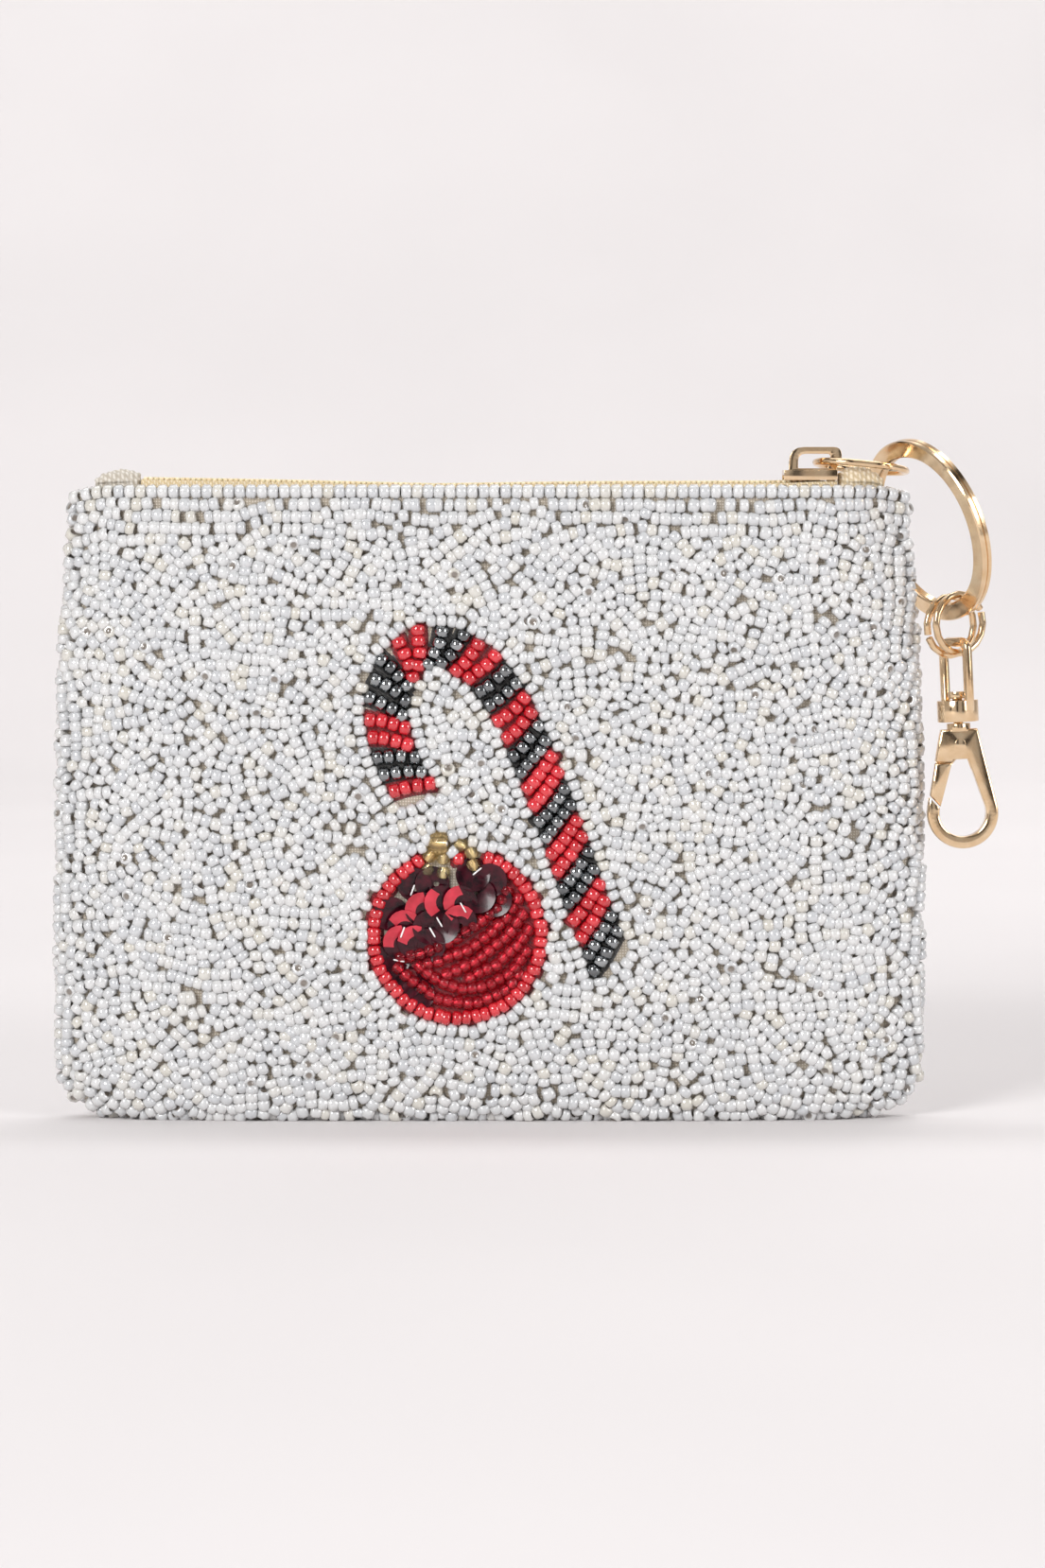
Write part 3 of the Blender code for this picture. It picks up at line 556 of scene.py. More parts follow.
fixed_tree = tree_of(fixed)
clear = [fixed_tree.find(p)[2] > CLEAR_OF_FIGURES for p in free]
free = free[clear]
kept_tree, alone = tree_of(free), np.ones(len(free), bool)
for k, p in enumerate(free):
    if alone[k]:
        for _, other, distance in kept_tree.find_range(p, CLEAR_OF_OTHERS):
            if other > k:
                alone[other] = False
free = free[alone]
print("ground beads to lay:", len(free), "beside", len(fixed), "laid by hand")

# %% [markdown]
# ## Joining beads into strings
# Each string starts at a bead taken at random, and goes on to the nearest free bead that lies ahead
# along the thread's direction. The direction comes from smooth noise, so neighbouring strings run
# nearly the same way. Near the rim it turns level and at the sides upright, as on the real pouch.

# %% Short strings
LONGEST = 6
REACH, STRAIGHT_ENOUGH = 2.9 * MM, 0.80
RIM_ZONE, SIDE_ZONE = 93 * MM, 67 * MM


def thread_way(point, normal):
    """The direction of the thread at a point: it turns slowly over the cloth."""
    a = 9.0 * noise.noise(Vector(point) * 60.0) + 4.0 * noise.noise(Vector(point) * 200.0 + Vector((7, 3, 5)))
    flat = Vector((math.cos(a), 0.35 * math.sin(3 * a), math.sin(a)))
    if point[2] > RIM_ZONE:
        flat = Vector((1.0, 0.0, 0.25 * math.sin(a)))
    if abs(point[0]) > SIDE_ZONE:
        flat = Vector((0.0, 0.2 * math.sin(a), 1.0))
    flat -= flat.dot(normal) * normal
    return flat.normalized() if flat.length > 0.01 else Vector((1, 0, 0))


_, free_normals = drop(free)
ways = np.array([thread_way(p, Vector(n)) for p, n in zip(free, free_normals)])
tree = tree_of(free)
before, after = np.full(len(free), -1), np.full(len(free), -1)
used = np.zeros(len(free), bool)
for k in rng.permutation(len(free)):
    if used[k]:
        continue
    used[k], here, length = True, k, int(rng.integers(3, LONGEST + 1))
    for _ in range(length - 1):
        best, score = -1, STRAIGHT_ENOUGH
        for _, other, distance in tree.find_range(free[here], REACH):
            if not used[other] and distance > 0:
                match = np.dot((free[other] - free[here]) / distance, ways[here])
                if match > score:
                    best, score = other, match
        if best < 0:
            break
        after[here], before[best], used[best] = best, here, True
        here = best
print("strings:", int((before < 0).sum()))

# %% [markdown]
# ## Pushing the beads into place
# Beads that lie too close push each other apart, by half the overlap each. Beads on one thread keep
# their distance as well, and bend only gently. After each turn every bead drops back to the sheet,
# a little above or below it, so that the surface stays uneven as sewn beads are.

# %% Settling the ground
TURNS = 120
LOOSE, NEAR = 0.42 * MM, 2.8 * MM
STRAIGHTEN, SHARE_OUT, SINK = 0.6, 0.55, 0.8
everything = len(free) + len(fixed)
joined = [(k, after[k]) for k in range(len(free)) if after[k] >= 0]
linked = set(map(tuple, joined))
lengths = np.full(everything, GROUND_LENGTH)
lengths[:len(free)] *= rng.uniform(0.80, 1.18, len(free))
widths = GROUND_WIDTH * rng.uniform(0.94, 1.06, everything)
hand_sizes = np.array([*figure.sizes, *[(RIM_PITCH, RIM_WIDTH)] * len(rim_spots)]) * MM
lengths[len(free):], widths[len(free):] = hand_sizes[:, 0], hand_sizes[:, 1]
free = free + free_normals * rng.uniform(-0.5, 0.5, (len(free), 1)) * LOOSE
points = np.concatenate([free, fixed])
axes = np.concatenate([ways, fixed_axes])
weight = np.concatenate([np.ones(len(free)), np.zeros(len(fixed))])
chain = np.array(joined)


def settle(turns, sizes):
    """Pushes the ground beads apart until they lie side by side, and turns them along their threads."""
    global points, axes
    loose_count = len(before)
    for turn_number in range(turns):
        if turn_number % 8 == 0:
            tree = tree_of(points)
            pairs = np.array([(k, other) for k in range(loose_count)
                              for _, other, _ in tree.find_range(points[k], NEAR)
                              if other > k and (k, other) not in linked and (other, k) not in linked])
        push, count = np.zeros_like(points), np.zeros(len(points))
        for group, both_ways in ((pairs, False), (chain, True)):
            first, second = group[:, 0], group[:, 1]
            gap = points[second] - points[first]
            distance = np.linalg.norm(gap, axis=1)
            way = gap / np.maximum(distance, 1e-9)[:, None]
            if both_ways:
                need = 0.5 * (lengths[first] + lengths[second])
            else:
                need = 0.0
                for end in (first, second):
                    lie = np.abs(np.einsum("ij,ij->i", way, axes[end]))
                    need = need + 0.5 * np.sqrt((lengths[end] * lie) ** 2 + (1 - lie ** 2) * widths[end] ** 2)
                need = need * np.interp(turn_number, [0, 0.7 * turns, turns], sizes)
            move = need - distance
            if not both_ways:
                move = np.maximum(move, 0)
            total = np.maximum(weight[first] + weight[second], 1e-9)
            for end, sign in ((first, -1), (second, 1)):
                amount = (sign * weight[end] / total * move)[:, None] * way
                np.add.at(push, end, amount)
                np.add.at(count, end, (np.abs(move) > 0).astype(float))
        bend = np.array([k for k in range(loose_count) if before[k] >= 0 and after[k] >= 0])
        straight = 0.5 * (points[before[bend]] + points[after[bend]]) - points[bend]
        push[bend] += STRAIGHTEN * straight
        points += push / np.maximum(SHARE_OUT * count, 1.0)[:, None] * weight[:, None]
        on_sheet, normals = drop(points[:loose_count])
        height = np.einsum("ij,ij->i", points[:loose_count] - on_sheet, normals)
        points[:loose_count] = on_sheet + normals * np.clip(SINK * height, -LOOSE, LOOSE)[:, None]
        tip = np.where(after >= 0, after, np.arange(loose_count))
        tail = np.where(before >= 0, before, np.arange(loose_count))
        lie = points[tip] - points[tail]
        strung = np.linalg.norm(lie, axis=1) > 0
        axes[:loose_count][strung] = unit(lie[strung])
    return float(np.linalg.norm(push, axis=1).mean() / MM)


print("mean push at the end, mm:", round(settle(TURNS, [1.06, 1.0, 0.96]), 3))

# %% [markdown]
# ## Filling the gaps
# Where the strings leave a hole nearly as wide as a bead, a sewer would sew one more bead into
# it. A fine grid of trial places over the whole cloth finds the holes, and a few more turns settle the
# new beads in.

# %% Extra beads
ROUNDS, HOLE, APART = 3, 1.42 * MM, 1.7 * MM
GRID, BELOW_RIM = 0.7, 2.5 * MM

trials = [(x, face * FACE_Y, z) for face in (-1, 1) for z in np.arange(1.0, 100.0, GRID)
          for x in np.arange(-69, 69.1, GRID)]
trials += [(end * SIDE_X, y, z) for end in (-1, 1) for z in np.arange(1.0, 99.0, GRID)
           for y in np.arange(-5, 5.1, GRID)]
trials += [(x, y, 0.0) for x in np.arange(-61.0, 61.1, GRID) for y in np.arange(-4, 4.1, GRID)]
trials = np.array(trials) * MM
trials, _ = drop(trials[~under_figures(trials, 0.0, 0.0)])
for _ in range(ROUNDS):
    tree = tree_of(points)
    room = np.array([tree.find(p)[2] for p in trials])
    extra = []
    for k in np.argsort(-room):
        if room[k] < HOLE:
            break
        crowded = any(np.linalg.norm(trials[k] - e) <= APART for e in extra)
        if trials[k][2] < rim_height - BELOW_RIM and not crowded:
            extra.append(trials[k])
    laid, new = len(before), len(extra)
    extra_ways = np.array([thread_way(p, Vector(n)) for p, n in zip(extra, drop(extra)[1])])
    points = np.concatenate([points[:laid], extra, points[laid:]])
    axes = np.concatenate([axes[:laid], extra_ways, axes[laid:]])
    before, after = (np.concatenate([ends, np.full(new, -1)]) for ends in (before, after))
    weight = np.concatenate([np.ones(laid + new), np.zeros(len(fixed))])
    lengths = np.concatenate([lengths[:laid], np.full(new, 0.95 * GROUND_LENGTH), lengths[laid:]])
    widths = np.concatenate([widths[:laid], np.full(new, GROUND_WIDTH), widths[laid:]])
    print("extra beads:", new, "mean push:", round(settle(TURNS // 4, [0.98, 0.97, 0.96]), 3))
ground = laid + new
everything = len(points)
print("ground beads:", ground)

# %% [markdown]
# ## Laying the white beads
# A few beads in each hundred stand on end, so that their holes show, and the others lie on their sides.
# The white glass has a pearly skin: opaque white with a soft, wide gloss, and each bead a touch cooler,
# warmer or greyer than the next. Where a bead turns away from the view its colour gets painted shade,
# and its hole is painted dark for the shade and thread inside it.

# %% White beads
ON_END, TILT = 0.016, 0.10
SIDE_SWELL, SIDE_START, SIDE_LENGTH = 0.45 * MM, 64 * MM, 4 * MM
GROUND_SWELL, HAND_SWELL = 1.14, 1.03

_, all_normals = drop(points)
rim_first = ground + len(front)
all_normals[rim_first:] = (0.0, 0.0, 1.0)
tilt = rng.normal(0, TILT, (everything, 3))
lying = axes + tilt
standing = rng.random(everything) < ON_END
standing[ground:] = False
lying[standing] = all_normals[standing] + 3.5 * tilt[standing]
upright = np.where(standing[:, None], axes, all_normals)
side = np.clip((np.abs(points[:, 0]) - SIDE_START) / SIDE_LENGTH, 0, 1)
points[:, 0] += np.sign(points[:, 0]) * SIDE_SWELL * side
swell = np.where(np.arange(everything) < ground, GROUND_SWELL, HAND_SWELL)
places = matrices(points, lying, upright, lengths * swell, widths * (0.5 + 0.5 * swell))


def bead_glass(name, tones, edge, hole, roughness, **sockets):
    """Bead glass: a tone for each bead, painted shade where the skin turns away, and a painted dark hole."""
    mat, shader = shade(name, tones[0][1], roughness, **sockets)
    tint = add(mat, "ShaderNodeAttribute", attribute_name="tint")
    bore = add(mat, "ShaderNodeAttribute", attribute_name="bore")
    # Painted shade: where the skin turns away from the view, the colour is mixed towards the darker edge
    # colour. This stands in for rim shading and pearl lustre.
    turned = add(mat, "ShaderNodeLayerWeight", {"Blend": 0.35})
    turned_away_shade = add(mat, "ShaderNodeMath", {0: (turned, "Facing"), 1: 2.2}, operation="POWER")
    skin = add(mat, "ShaderNodeMix", {"Factor": (turned_away_shade, "Value"), 6: ramp(mat, (tint, "Fac"), tones),
                                      7: srgb(edge)}, data_type="RGBA")
    # Painted shade: the hole is painted a dark colour for the shade deep inside it and its thread.
    hole_shade_colour = add(mat, "ShaderNodeMix", {"Factor": (bore, "Fac"), 6: (skin, 2), 7: srgb(hole)}, data_type="RGBA")
    wire_up(mat, shader, Base_Color=(hole_shade_colour, 2))
    return mat


THIRD_X = 23 * MM
PEARL_TONES = [(0.0, "C4C6C9"), (0.4, "CECFD0"), (0.8, "D7D7D7"), (1.0, "CECAC0")]
# The edge colour B4AFA5 is painted shade at turned-away edges, and 7C736A is painted shade in the holes.
pearl = bead_glass("pearl glass seed bead", PEARL_TONES, "B4AFA5", "7C736A", 0.16, Coat_Weight=1.0,
                   Coat_Roughness=0.04, Coat_IOR=1.8)
kinds = np.array(["white"] * ground + figure.kinds + ["rim"] * len(rim_spots))
faces = np.where(points[:, 1] < 0, "front", "back")
thirds = np.select([points[:, 0] < -THIRD_X, points[:, 0] < THIRD_X], ["left", "middle"], "right")
for face in ("front", "back"):
    for third in ("left", "middle", "right"):
        chosen = (kinds == "white") & (faces == face) & (thirds == third)
        spread(f"white_beads_{face}_{third}", unit_bead, places[chosen], pearl)
        print(face, third, int(chosen.sum()), "beads")
    spread(f"rim_beads_{face}", unit_bead, places[(kinds == "rim") & (faces == face)], pearl)

# %% [markdown]
# ## Coloured beads
# The red beads are opaque glass and the grey ones have a dark metal skin. The dark red and gold beads are
# clear coloured glass round a square silver-lined hole, so each is really two things: a glass body that
# light goes through, and a bright square tube inside it. Under the red, grey and dark red rows lies
# thread of nearly the same colour, which keeps the pale cloth from shining through.

# %% Coloured beads
RED_TONES = [(0.0, "B8121F"), (0.6, "CC1F2C"), (1.0, "DA303A")]
GREY_TONES = [(0.0, "707274"), (0.6, "909395"), (1.0, "B0B3B5")]
# Red and grey beads also get painted edge shade and a painted dark hole, in their edge and hole colours.
red_glass = bead_glass("opaque red glass", RED_TONES, "8A0E1A", "5A0810", 0.12, Coat_Weight=1.0,
                       Coat_Roughness=0.05, Coat_IOR=1.6)
gunmetal = bead_glass("metallic gunmetal glass", GREY_TONES, "26272A", "141416", 0.12, Metallic=1.0)


def tinted(name, low, high, roughness, **sockets):
    """Clear glass or nylon: each piece a little lighter or darker, with fine flow marks in its gloss."""
    mat, shader = shade(name, high, roughness, **sockets)
    tint = add(mat, "ShaderNodeAttribute", attribute_name="tint")
    place = add(mat, "ShaderNodeTexCoord")
    flow = add(mat, "ShaderNodeTexNoise", {"Vector": (place, "Object"), "Scale": 1 / (0.5 * MM)})
    gloss = add(mat, "ShaderNodeMapRange", {"Value": (flow, "Fac"), "To Min": 0.5 * roughness,
                                            "To Max": 1.5 * roughness})
    wire_up(mat, shader, Base_Color=ramp(mat, (tint, "Fac"), [(0.0, low), (1.0, high)]),
            Roughness=(gloss, "Result"))
    return mat


ruby_glass = tinted("clear ruby glass", "DC2C3E", "EE3C4E", 0.04, Transmission_Weight=0.85, IOR=1.35)
gold_glass = tinted("clear amber glass", "FFE0A0", "FFEDB6", 0.04, Transmission_Weight=0.92, IOR=1.35)
lining, lining_shader = shade("silver bead lining", "FBF6EF", 0.22, Metallic=0.55)
scuff = add(lining, "ShaderNodeTexNoise", {"Scale": 1 / (0.4 * MM), "Detail": 2.0})
wire_up(lining, lining_shader, Base_Color=ramp(lining, (scuff, "Fac"), [(0.35, "C4BAB0"), (0.6, "FFFBF4")]))


def thread_material(name, low, high):
    """Twisted sewing thread: fine slanting lines, soft and dull."""
    mat, shader = shade(name, high, 0.7, Sheen_Weight=0.3)
    place = add(mat, "ShaderNodeTexCoord")
    twist = add(mat, "ShaderNodeTexWave", {"Vector": (place, "Object"), "Scale": ribs(0.3 * MM),
                                           "Distortion": 2.0}, bands_direction="DIAGONAL")
    bump = add(mat, "ShaderNodeBump", {"Height": (twist, "Fac"), "Strength": 0.5, "Distance": 0.08 * MM})
    colour = ramp(mat, (twist, "Fac"), [(0.0, low), (1.0, high)])
    wire_up(mat, shader, Base_Color=colour, Normal=(bump, "Normal"))
    return mat


def rod_mesh(name, sides):
    """A rod one long and one wide along X, with its ends a little rounded."""
    bm = bmesh.new()
    bmesh.ops.create_cone(bm, cap_ends=True, segments=sides, radius1=0.5, radius2=0.5, depth=1.0)
    bmesh.ops.rotate(bm, verts=bm.verts, matrix=Matrix.Rotation(math.pi / 2, 3, "Y"))
    ends = [e for e in bm.edges if abs(e.verts[0].co.x - e.verts[1].co.x) < 0.1]
    bmesh.ops.bevel(bm, geom=ends, offset=0.12, affect="EDGES", segments=1, profile=0.5, material=-1)
    mesh = bpy.data.meshes.new(name)
    bm.to_mesh(mesh)
    bm.free()
    return mesh


rod, square_rod = rod_mesh("rod", 6), rod_mesh("square_rod", 4)
for kind, mat in (("red", red_glass), ("grey", gunmetal), ("ruby", ruby_glass), ("gold", gold_glass),
                  ("amber", gold_glass)):
    spread(f"{kind}_beads", unit_bead, places[kinds == kind], mat)
    print(kind, int((kinds == kind).sum()))
TUBE_LENGTH, TUBE_WIDTHS = 0.86, [("ruby", 0.47), ("gold", 0.52), ("amber", 0.34)]
for kind, width in TUBE_WIDTHS:
    tubes = places[kinds == kind].copy()
    tubes[:, :3, 0] *= TUBE_LENGTH
    tubes[:, :3, 1:3] *= width
    spread(f"{kind}_linings", square_rod, tubes, lining)
THREADS = [("red", "6E0C16", "96141F"), ("grey", "242423", "3C3A39"), ("ruby", "6E0A18", "8E1424")]
UNDER, LONGER, WIDER, FLATTER = 0.42 * MM, 0.9 * MM, 1.2 * MM, 0.3
for kind, low, high in THREADS:
    chosen = kinds == kind
    under = matrices(points[chosen] - all_normals[chosen] * UNDER, axes[chosen], all_normals[chosen],
                     lengths[chosen] + LONGER, widths[chosen] + WIDER)
    under[:, :3, 2] *= FLATTER
    spread(f"{kind}_thread", rod, under, thread_material(f"{kind} sewing thread", low, high))

# %% [markdown]
# ## Sequins
# The upper left of the bauble is filled with cupped sequins, which overlap like fish scales. A sequin is
# a disc of plum film with a hole and a raised rim: a circle that is inset twice, with its middle ring
# pushed to one side, so that one side of the rim is wide. On some sequins that wide side gets a second
# material in bright red, a painted reflection for the flash off a tilted sequin.

# %% Sequins
SEQUIN_RADIUS, SEQUIN_FILM, SEQUIN_RIM = 2.75 * MM, 0.10 * MM, 1.15 * MM
CUP_DEPTH, CUP_SHIFT, FLASH_HALF = 0.35 * MM, 0.75 * MM, math.radians(63)
SEQUIN_LIFT, SEQUIN_STEP, SEQUIN_LEAN = 0.45, 0.035, math.radians(-9.0)
STITCH_LENGTH, STITCH_WIDTH, STITCH_OUT, STITCH_RISE = 1.8 * MM, 0.28 * MM, 0.9, 0.35 * MM
STITCH_TURN, STITCHED = 150, 3
DARK_SEQUINS = [(-10.2, -3.8, 200), (-8.4, -7.5, 230), (-6.3, -9.3, 240), (-6.8, 8.2, 100), (-4.0, 8.4, 170),
                (-10.5, 3.5, 160), (2.5, 9.8, 250), (5.2, 8.9, 40), (6.0, 5.8, 330), (-2.4, 1.5, 330),
                (-4.6, -1.5, 60), (3.4, 6.4, 300), (-4.4, 1.4, 150)]
# These sequins get the painted red reflection on one side of their rim.
PAINTED_FLASH_SEQUINS = [(-9.1, -1.0, 140), (-6.8, -1.0, 120), (-8.4, 1.5, 100), (-5.6, 4.3, 140), (0.4, 2.3, 95),
                  (0.5, 5.4, 150), (-2.5, 5.4, 180)]


def sequin(bright):
    """One cupped sequin. A bright one has a second material on the wide side of its rim, a painted red
    reflection.
    """
    bm = bmesh.new()
    bmesh.ops.create_circle(bm, cap_ends=True, segments=20, radius=SEQUIN_RADIUS)
    bmesh.ops.inset_region(bm, faces=bm.faces[:], thickness=SEQUIN_RIM, depth=-CUP_DEPTH, use_boundary=True)
    middle_face = min(bm.faces, key=lambda f: f.calc_center_median().length)
    bmesh.ops.translate(bm, verts=middle_face.verts[:], vec=(-CUP_SHIFT, 0, 0))
    rim_faces = [f for f in bm.faces if f is not middle_face]
    bmesh.ops.inset_region(bm, faces=[middle_face], thickness=SEQUIN_RIM, use_boundary=True)
    bmesh.ops.delete(bm, geom=[middle_face], context="FACES")
    for f in rim_faces:
        c = f.calc_center_median()
        # Painted reflection: the wide rim side of a bright sequin gets the second material.
        f.material_index = int(bright and abs(math.atan2(c.y, c.x)) < FLASH_HALF)
    bmesh.ops.solidify(bm, geom=bm.faces[:], thickness=SEQUIN_FILM)
    mesh = bpy.data.meshes.new("sequin")
    bm.to_mesh(mesh)
    bm.free()
    return mesh


film, film_shader = shade("plum sequin film", "3A0C1A", 0.2, Specular_IOR_Level=0.3, Coat_Weight=0.12)
place = add(film, "ShaderNodeTexCoord")
cloud = add(film, "ShaderNodeTexNoise", {"Vector": (place, "Object"), "Scale": 1 / (1.6 * MM), "Detail": 2.0})
wire_up(film, film_shader, Base_Color=ramp(film, (cloud, "Fac"), [(0.35, "1C050D"), (0.7, "480A1B")]))
# Painted reflection: a bright red film colour that stands in for light flashing off the sequin's tilted rim.
painted_flash, painted_flash_shader = shade("painted red reflection on sequin film", "C42438", 0.3, Coat_Weight=0.2)
flash_place = add(painted_flash, "ShaderNodeTexCoord")
flash_cloud = add(painted_flash, "ShaderNodeTexNoise", {"Vector": (flash_place, "Object"), "Scale": 1 / (2.5 * MM)})
wire_up(painted_flash, painted_flash_shader, Base_Color=ramp(painted_flash, (flash_cloud, "Fac"), [(0.3, "A81A2C"), (0.7, "D63448")]))
scales, stitches = bmesh.new(), []
for number, (x, z, angle) in enumerate(DARK_SEQUINS + PAINTED_FLASH_SEQUINS):
    spot = Vector(on_front(BAUBLE[0] + x, BAUBLE[1] + z))
    lift = (SEQUIN_LIFT + SEQUIN_STEP * number) * MM
    turned = Matrix.Rotation(math.radians(angle), 4, "Z") @ Matrix.Rotation(SEQUIN_LEAN, 4, "Y")
    facing = Matrix.Translation(spot - Vector((0, lift, 0))) @ Matrix.Rotation(math.pi / 2, 4, "X")
    part = sequin(number >= len(DARK_SEQUINS))
    part.transform(facing @ turned)
    scales.from_mesh(part)
    lie = math.radians(angle + STITCH_TURN)
    way = Vector((math.cos(lie), 0.0, math.sin(lie)))
    stitches.append((spot + way * STITCH_OUT * MM - Vector((0, lift + STITCH_RISE, 0)), way))
bmesh.ops.recalc_face_normals(scales, faces=scales.faces)
sequins = keep("sequins", scales, film, "pouch", (), 25.0)
sequins.data.materials.append(painted_flash)
clear_thread = tinted("clear nylon thread", "E8E6E6", "F8F6F6", 0.08, Coat_Weight=1.0)
ends, ways = (np.array([s[k] for s in stitches[::STITCHED]]) for k in (0, 1))
count = len(ends)
spread("clear_stitches", rod, matrices(ends, ways, np.tile((0.0, -1.0, 0.0), (count, 1)),
                                       np.full(count, STITCH_LENGTH), np.full(count, STITCH_WIDTH)),
       clear_thread)
print("sequins:", len(DARK_SEQUINS + PAINTED_FLASH_SEQUINS))

# %% [markdown]
# ## The hard pieces
# The slider, rings and hook are zinc alloy castings and brass wire, polished and plated a pale gold. The
# plating is bright and smooth, with faint waves left by the polishing wheel.

# %% Metal
POLISHED_EDGE = 0.12 * MM
plate, plate_shader = shade("pale gold plated zinc alloy", "E9CDA6", 0.14, Metallic=1.0)
place = add(plate, "ShaderNodeTexCoord")
wave = add(plate, "ShaderNodeTexNoise", {"Vector": (place, "Object"), "Scale": 1 / (2.5 * MM), "Detail": 3.0})
fine = add(plate, "ShaderNodeTexNoise", {"Vector": (place, "Object"), "Scale": 1 / (0.5 * MM), "Detail": 2.0})
rub = add(plate, "ShaderNodeMapRange", {"Value": (fine, "Fac"), "To Min": 0.08, "To Max": 0.22})
ripple = add(plate, "ShaderNodeBump", {"Height": (wave, "Fac"), "Strength": 0.12, "Distance": 0.12 * MM})
wire_up(plate, plate_shader, Roughness=(rub, "Result"), Normal=(ripple, "Normal"),
        Base_Color=ramp(plate, (wave, "Fac"), [(0.3, "E2C097"), (0.7, "F0D6B2")]))
for node, body in (("zip_slider", "pouch"), ("pull_link", "pouch"), ("jump_ring_front", "pouch"),
                   ("jump_ring_back", "pouch"), ("swivel_eye", "pouch"), ("hook_frame", "hook"),
                   ("hook_gate", "gate")):
    piece = softened(node, f"{node}_plated", plate, body, POLISHED_EDGE)
    print(node, len(piece.data.polygons), "faces")

# %% [markdown]
# ## Split ring
# A split ring is flat wire wound twice round, so that two flat turns lie against each other with a fine
# groove between them. Its section is drawn once, with the groove inside and outside, and spun round.

# %% Split ring
RING_CENTRE = Vector((69.887, -2.7, 94.7)) * MM
RING_AXIS = Vector((-0.822666, -0.480223, -0.304313))
RING_OUT, RING_IN, RING_HALF, CORNER, GROOVE = 15.0, 12.3, 0.95, 0.22, 0.14
half_section = [(RING_IN, -RING_HALF + CORNER), (RING_IN + CORNER, -RING_HALF),
                (RING_OUT - CORNER, -RING_HALF), (RING_OUT, -RING_HALF + CORNER), (RING_OUT, -GROOVE),
                (RING_OUT - 2 * GROOVE, 0.0)]
mirrored = [(r, -a) for r, a in half_section[:-1][::-1]] + [(RING_IN + 2 * GROOVE, 0.0)]
across = RING_AXIS.orthogonal().normalized()
bm = bmesh.new()
section = [bm.verts.new(RING_CENTRE + (r * across + a * RING_AXIS) * MM) for r, a in half_section + mirrored]
loop = [bm.edges.new((section[k - 1], section[k])) for k in range(len(section))]
bmesh.ops.spin(bm, geom=section + loop, axis=RING_AXIS, cent=RING_CENTRE, angle=2 * math.pi, steps=120,
               use_merge=True)
bmesh.ops.recalc_face_normals(bm, faces=bm.faces)
keep("split_ring_wound", bm, plate, "pouch", ("split_ring",), 40.0)
print("ring section points:", len(half_section + mirrored))

# %% [markdown]
# ## Zip
# The zip is a cream nylon coil between two woven tapes. Its closed coil stands a little above the beads.
# The teeth are short bars from each side, which pass between each other over a low core. At both ends the
# tape is folded up in a thick woven lump.

# %% Zip
def woven_tape(name, low, high, pitch):
    """Woven tape: two sets of fine ribs, across and up, that pass over and under each other."""
    mat, shader = shade(name, high, 0.8, Sheen_Weight=0.4)
    place = add(mat, "ShaderNodeTexCoord")
    sets = [add(mat, "ShaderNodeTexWave", {"Vector": (place, "Object"), "Scale": ribs(pitch),
                                           "Distortion": 0.8, "Detail": 1.0}, bands_direction=d)
            for d in ("X", "DIAGONAL")]
    weave = add(mat, "ShaderNodeMath", {0: (sets[0], "Fac"), 1: (sets[1], "Fac")}, operation="MULTIPLY")
    bump = add(mat, "ShaderNodeBump", {"Height": (weave, "Value"), "Strength": 0.8, "Distance": 0.15 * MM})
    colour = ramp(mat, (weave, "Value"), [(0.0, low), (0.6, high)])
    wire_up(mat, shader, Base_Color=colour, Normal=(bump, "Normal"))
    return mat


FINE_WEAVE, THICK_WEAVE = 0.45 * MM, 0.7 * MM
cream = woven_tape("cream woven zip tape", "D2BC92", "F3E4C8", FINE_WEAVE)
grey_cloth = woven_tape("grey beige woven tape", "B4AB9D", "DDD7CD", THICK_WEAVE)
cream_lump = woven_tape("cream woven tape end", "C9B694", "F0E4CE", THICK_WEAVE)
for node in ("zip_tape_front", "zip_tape_back"):
    nodes[node].data.materials.clear()
    nodes[node].data.materials.append(cream)
TOOTH_PITCH, TOOTH_WIDTH, TOOTH_LENGTH, COIL_DROP = 0.85, 0.74, 1.42, 0.30
TOOTH_SIDE, COIL_MARGIN = 0.5, 0.8

coil_tree = BVHTree.FromBMesh(merged_copy("zip_coil"))
core = merged_copy("zip_coil")
for v in core.verts:
    v.co.z -= 0.5 * TOOTH_WIDTH * MM + COIL_DROP * MM
keep("zip_core", core, cream, "pouch", ("zip_coil",), 40.0)
coil_ends = [v.co.x / MM for v in nodes["zip_coil"].data.vertices]
stations = np.arange(min(coil_ends) + COIL_MARGIN, max(coil_ends) - COIL_MARGIN, TOOTH_PITCH)
down = Vector((0, 0, -1))
tops = np.array([coil_tree.ray_cast(Vector((x * MM, 0, 0.2)), down)[0].z / MM for x in stations])
heights = tops - 0.5 * TOOTH_WIDTH - COIL_DROP
teeth = [(x + side * 0.25 * TOOTH_PITCH, side * TOOTH_SIDE, z) for x, z in zip(stations, heights)
         for side in (-1, 1)]
count = len(teeth)
crosswise, upwards = np.tile((0.0, 1.0, 0.0), (count, 1)), np.tile((0.0, 0.0, 1.0), (count, 1))
teeth_places = matrices(np.array(teeth) * MM, crosswise, upwards, np.full(count, TOOTH_LENGTH * MM),
                        np.full(count, TOOTH_WIDTH * MM))
nylon = tinted("cream nylon zip coil", "E2D0A8", "EFE1C0", 0.35, Subsurface_Weight=0.1, Subsurface_Scale=MM)
spread("zip_teeth", rod, teeth_places, nylon)
print("zip teeth:", count, "top from", round(float(tops.min()), 1), "to", round(float(tops.max()), 1), "mm")

# %% [markdown]
# ## Woven tape ends
# Both lumps are thick woven tape folded over. Their smooth forms from the frame get finer faces, and
# the cords of the weave are then lifted off the surface in two slanting directions.

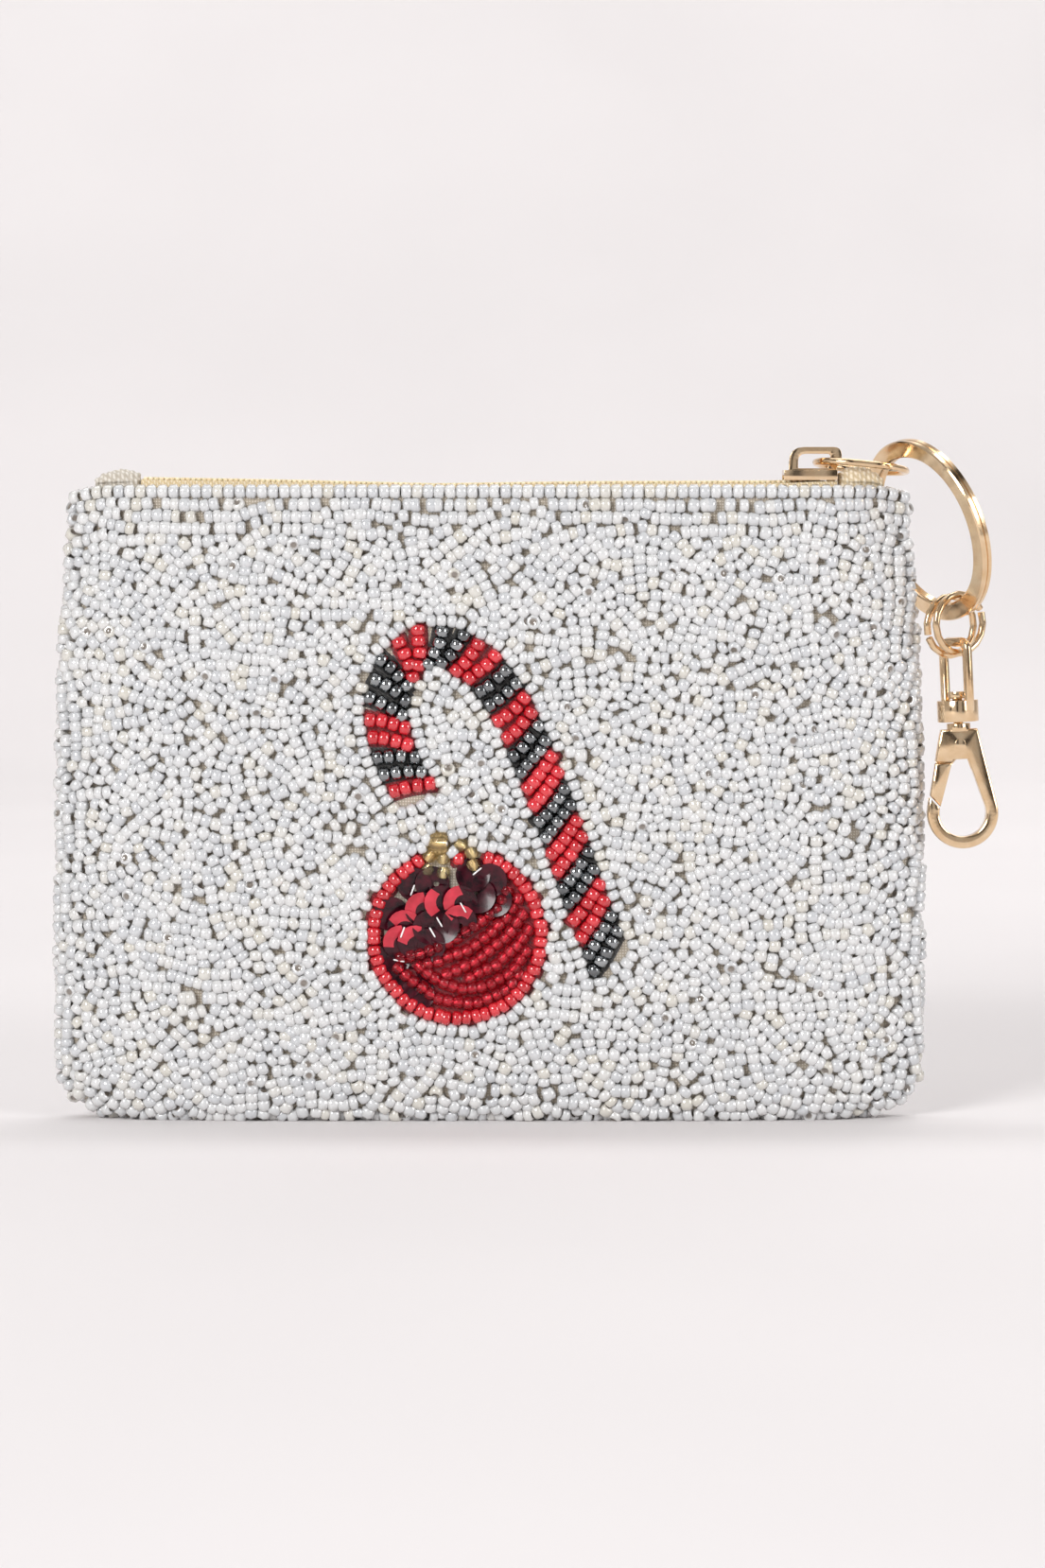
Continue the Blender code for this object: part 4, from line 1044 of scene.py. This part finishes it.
# %% Tape ends
CORD, CORD_DEPTH = 0.95, 0.17
for node, mat in (("zip_tab_left", grey_cloth), ("zip_tab_right", cream_lump)):
    bm = merged_copy(node)
    bmesh.ops.subdivide_edges(bm, edges=bm.edges, cuts=7, use_grid_fill=True)
    bmesh.ops.smooth_vert(bm, verts=bm.verts, factor=0.5, use_axis_x=True, use_axis_y=True, use_axis_z=True)
    bm.normal_update()
    for v in bm.verts:
        a, b = (v.co.x + v.co.z) / MM * math.pi / CORD, (v.co.x - v.co.z) / MM * math.pi / CORD
        v.co += v.normal * CORD_DEPTH * MM * math.cos(a) * math.cos(b)
    piece = keep(f"{node}_woven", bm, mat, "pouch", (node,), 80.0)
    print(piece.name, len(piece.data.polygons), "faces")

# %% [markdown]
# ## Studio
# The photograph has a pale, seamless paper ground with hardly a shadow. A sheet that lies flat and then
# curves up behind the pouch gives that. Wide lamps light the beads softly, and the surroundings have a
# few darker strips, which only the polished metal shows, as streaks.

# %% Paper sweep
SHEET_HALF, SHEET_RISE, SHEET_BEND = 1.6, 1.8, 0.9

bm = bmesh.new()
bmesh.ops.create_grid(bm, x_segments=1, y_segments=1, size=SHEET_HALF)
back_edge = [e for e in bm.edges if all(v.co.y > 0 for v in e.verts)]
wall = bmesh.ops.extrude_edge_only(bm, edges=back_edge)["geom"]
raised_edge = [v for v in wall if isinstance(v, bmesh.types.BMVert)]
bmesh.ops.translate(bm, verts=raised_edge, vec=(0.0, 0.0, SHEET_RISE))
bmesh.ops.bevel(bm, geom=back_edge, offset=SHEET_BEND, affect="EDGES", segments=24, profile=0.5, material=-1)
sweep_mesh = bpy.data.meshes.new("paper_sweep")
bm.to_mesh(sweep_mesh)
bm.free()
paper, paper_shader = shade("seamless studio paper", "FAF7F7", 0.9)
fibres = add(paper, "ShaderNodeTexCoord")
fleck = add(paper, "ShaderNodeTexNoise", {"Vector": (fibres, "Object"), "Scale": 6.0, "Detail": 2.0})
wire_up(paper, paper_shader, Base_Color=ramp(paper, (fleck, "Fac"), [(0.3, "E2DEDE"), (0.7, "E6E2E2")]))
sweep_mesh.materials.append(paper)
sweep_mesh.shade_smooth()
sweep = bpy.data.objects.new("paper_sweep", sweep_mesh)
bpy.context.scene.collection.objects.link(sweep)
sweep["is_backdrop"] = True
print("paper faces:", len(sweep_mesh.polygons))

# %% [markdown]
# ## Light
# A wide key lamp at the front left draws the small bright spots on the beads, a weaker lamp fills the
# right side, and the others light the paper, the top and the back. What the metal mirrors is a ring of
# pale and dark strips, which the camera itself doesn't see.

# %% Lamps and surroundings
LAMPS = [("key", (-0.75, -1.10, 0.62), (0.55, 0.55), 14.0), ("fill", (0.95, -0.75, 0.45), (0.5, 0.7), 6.0),
         ("top", (0.0, -0.1, 1.15), (0.9, 0.6), 0.6), ("wall", (0.0, 0.35, 1.6), (1.8, 0.5), 16.3),
         ("back", (0.35, 0.60, 0.55), (0.6, 0.6), 0.9)]

bpy.context.scene.view_settings.view_transform = "Standard"
world = bpy.data.worlds.new("studio")
bpy.context.scene.world = world
world.use_nodes = True
room = add(world, "ShaderNodeTexCoord")
strips = add(world, "ShaderNodeTexWave", {"Vector": (room, "Generated"), "Scale": 0.55, "Distortion": 1.5,
                                          "Detail": 1.0, "Phase Offset": 1.2}, bands_direction="X")
glow = ramp(world, (strips, "Fac"), [(0.13, "332D29"), (0.26, "F4F0F0"), (1.0, "FFFDFD")])
ray = add(world, "ShaderNodeLightPath")
seen = add(world, "ShaderNodeMix", {"Factor": (ray, "Is Camera Ray"), 6: glow, 7: srgb("FFFFFF")},
           data_type="RGBA")
world.node_tree.links.new(seen.outputs[2], world.node_tree.nodes["Background"].inputs["Color"])
world.node_tree.nodes["Background"].inputs["Strength"].default_value = 0.47
for name, place, (width, height), power in LAMPS:
    lamp = bpy.data.lights.new(name, "AREA")
    lamp.shape, lamp.size, lamp.size_y, lamp.energy = "RECTANGLE", width, height, power
    light = bpy.data.objects.new(name, lamp)
    light.location = place
    aim = Vector((0.0, 1.3, 0.6)) if name == "wall" else Vector((0.0, 0.0, 0.05))
    light.rotation_euler = (aim - light.location).to_track_quat("-Z", "Y").to_euler()
    bpy.context.scene.collection.objects.link(light)
print("lamps:", len(LAMPS))

# %% [markdown]
# ## Sizes
# The dressed pouch should be no larger than its frame, apart from the beads' roundness. The box round
# the dressed pieces is measured, and the triangles are counted.

# %% Sizes and end
low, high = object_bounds()
triangles = {o.name: sum(len(p.vertices) - 2 for p in o.data.polygons)
             for o in bpy.context.scene.objects if o.type == "MESH" and o.visible_get()}
print("most triangles in a piece:", max(triangles.values()), "in all:", sum(triangles.values()))
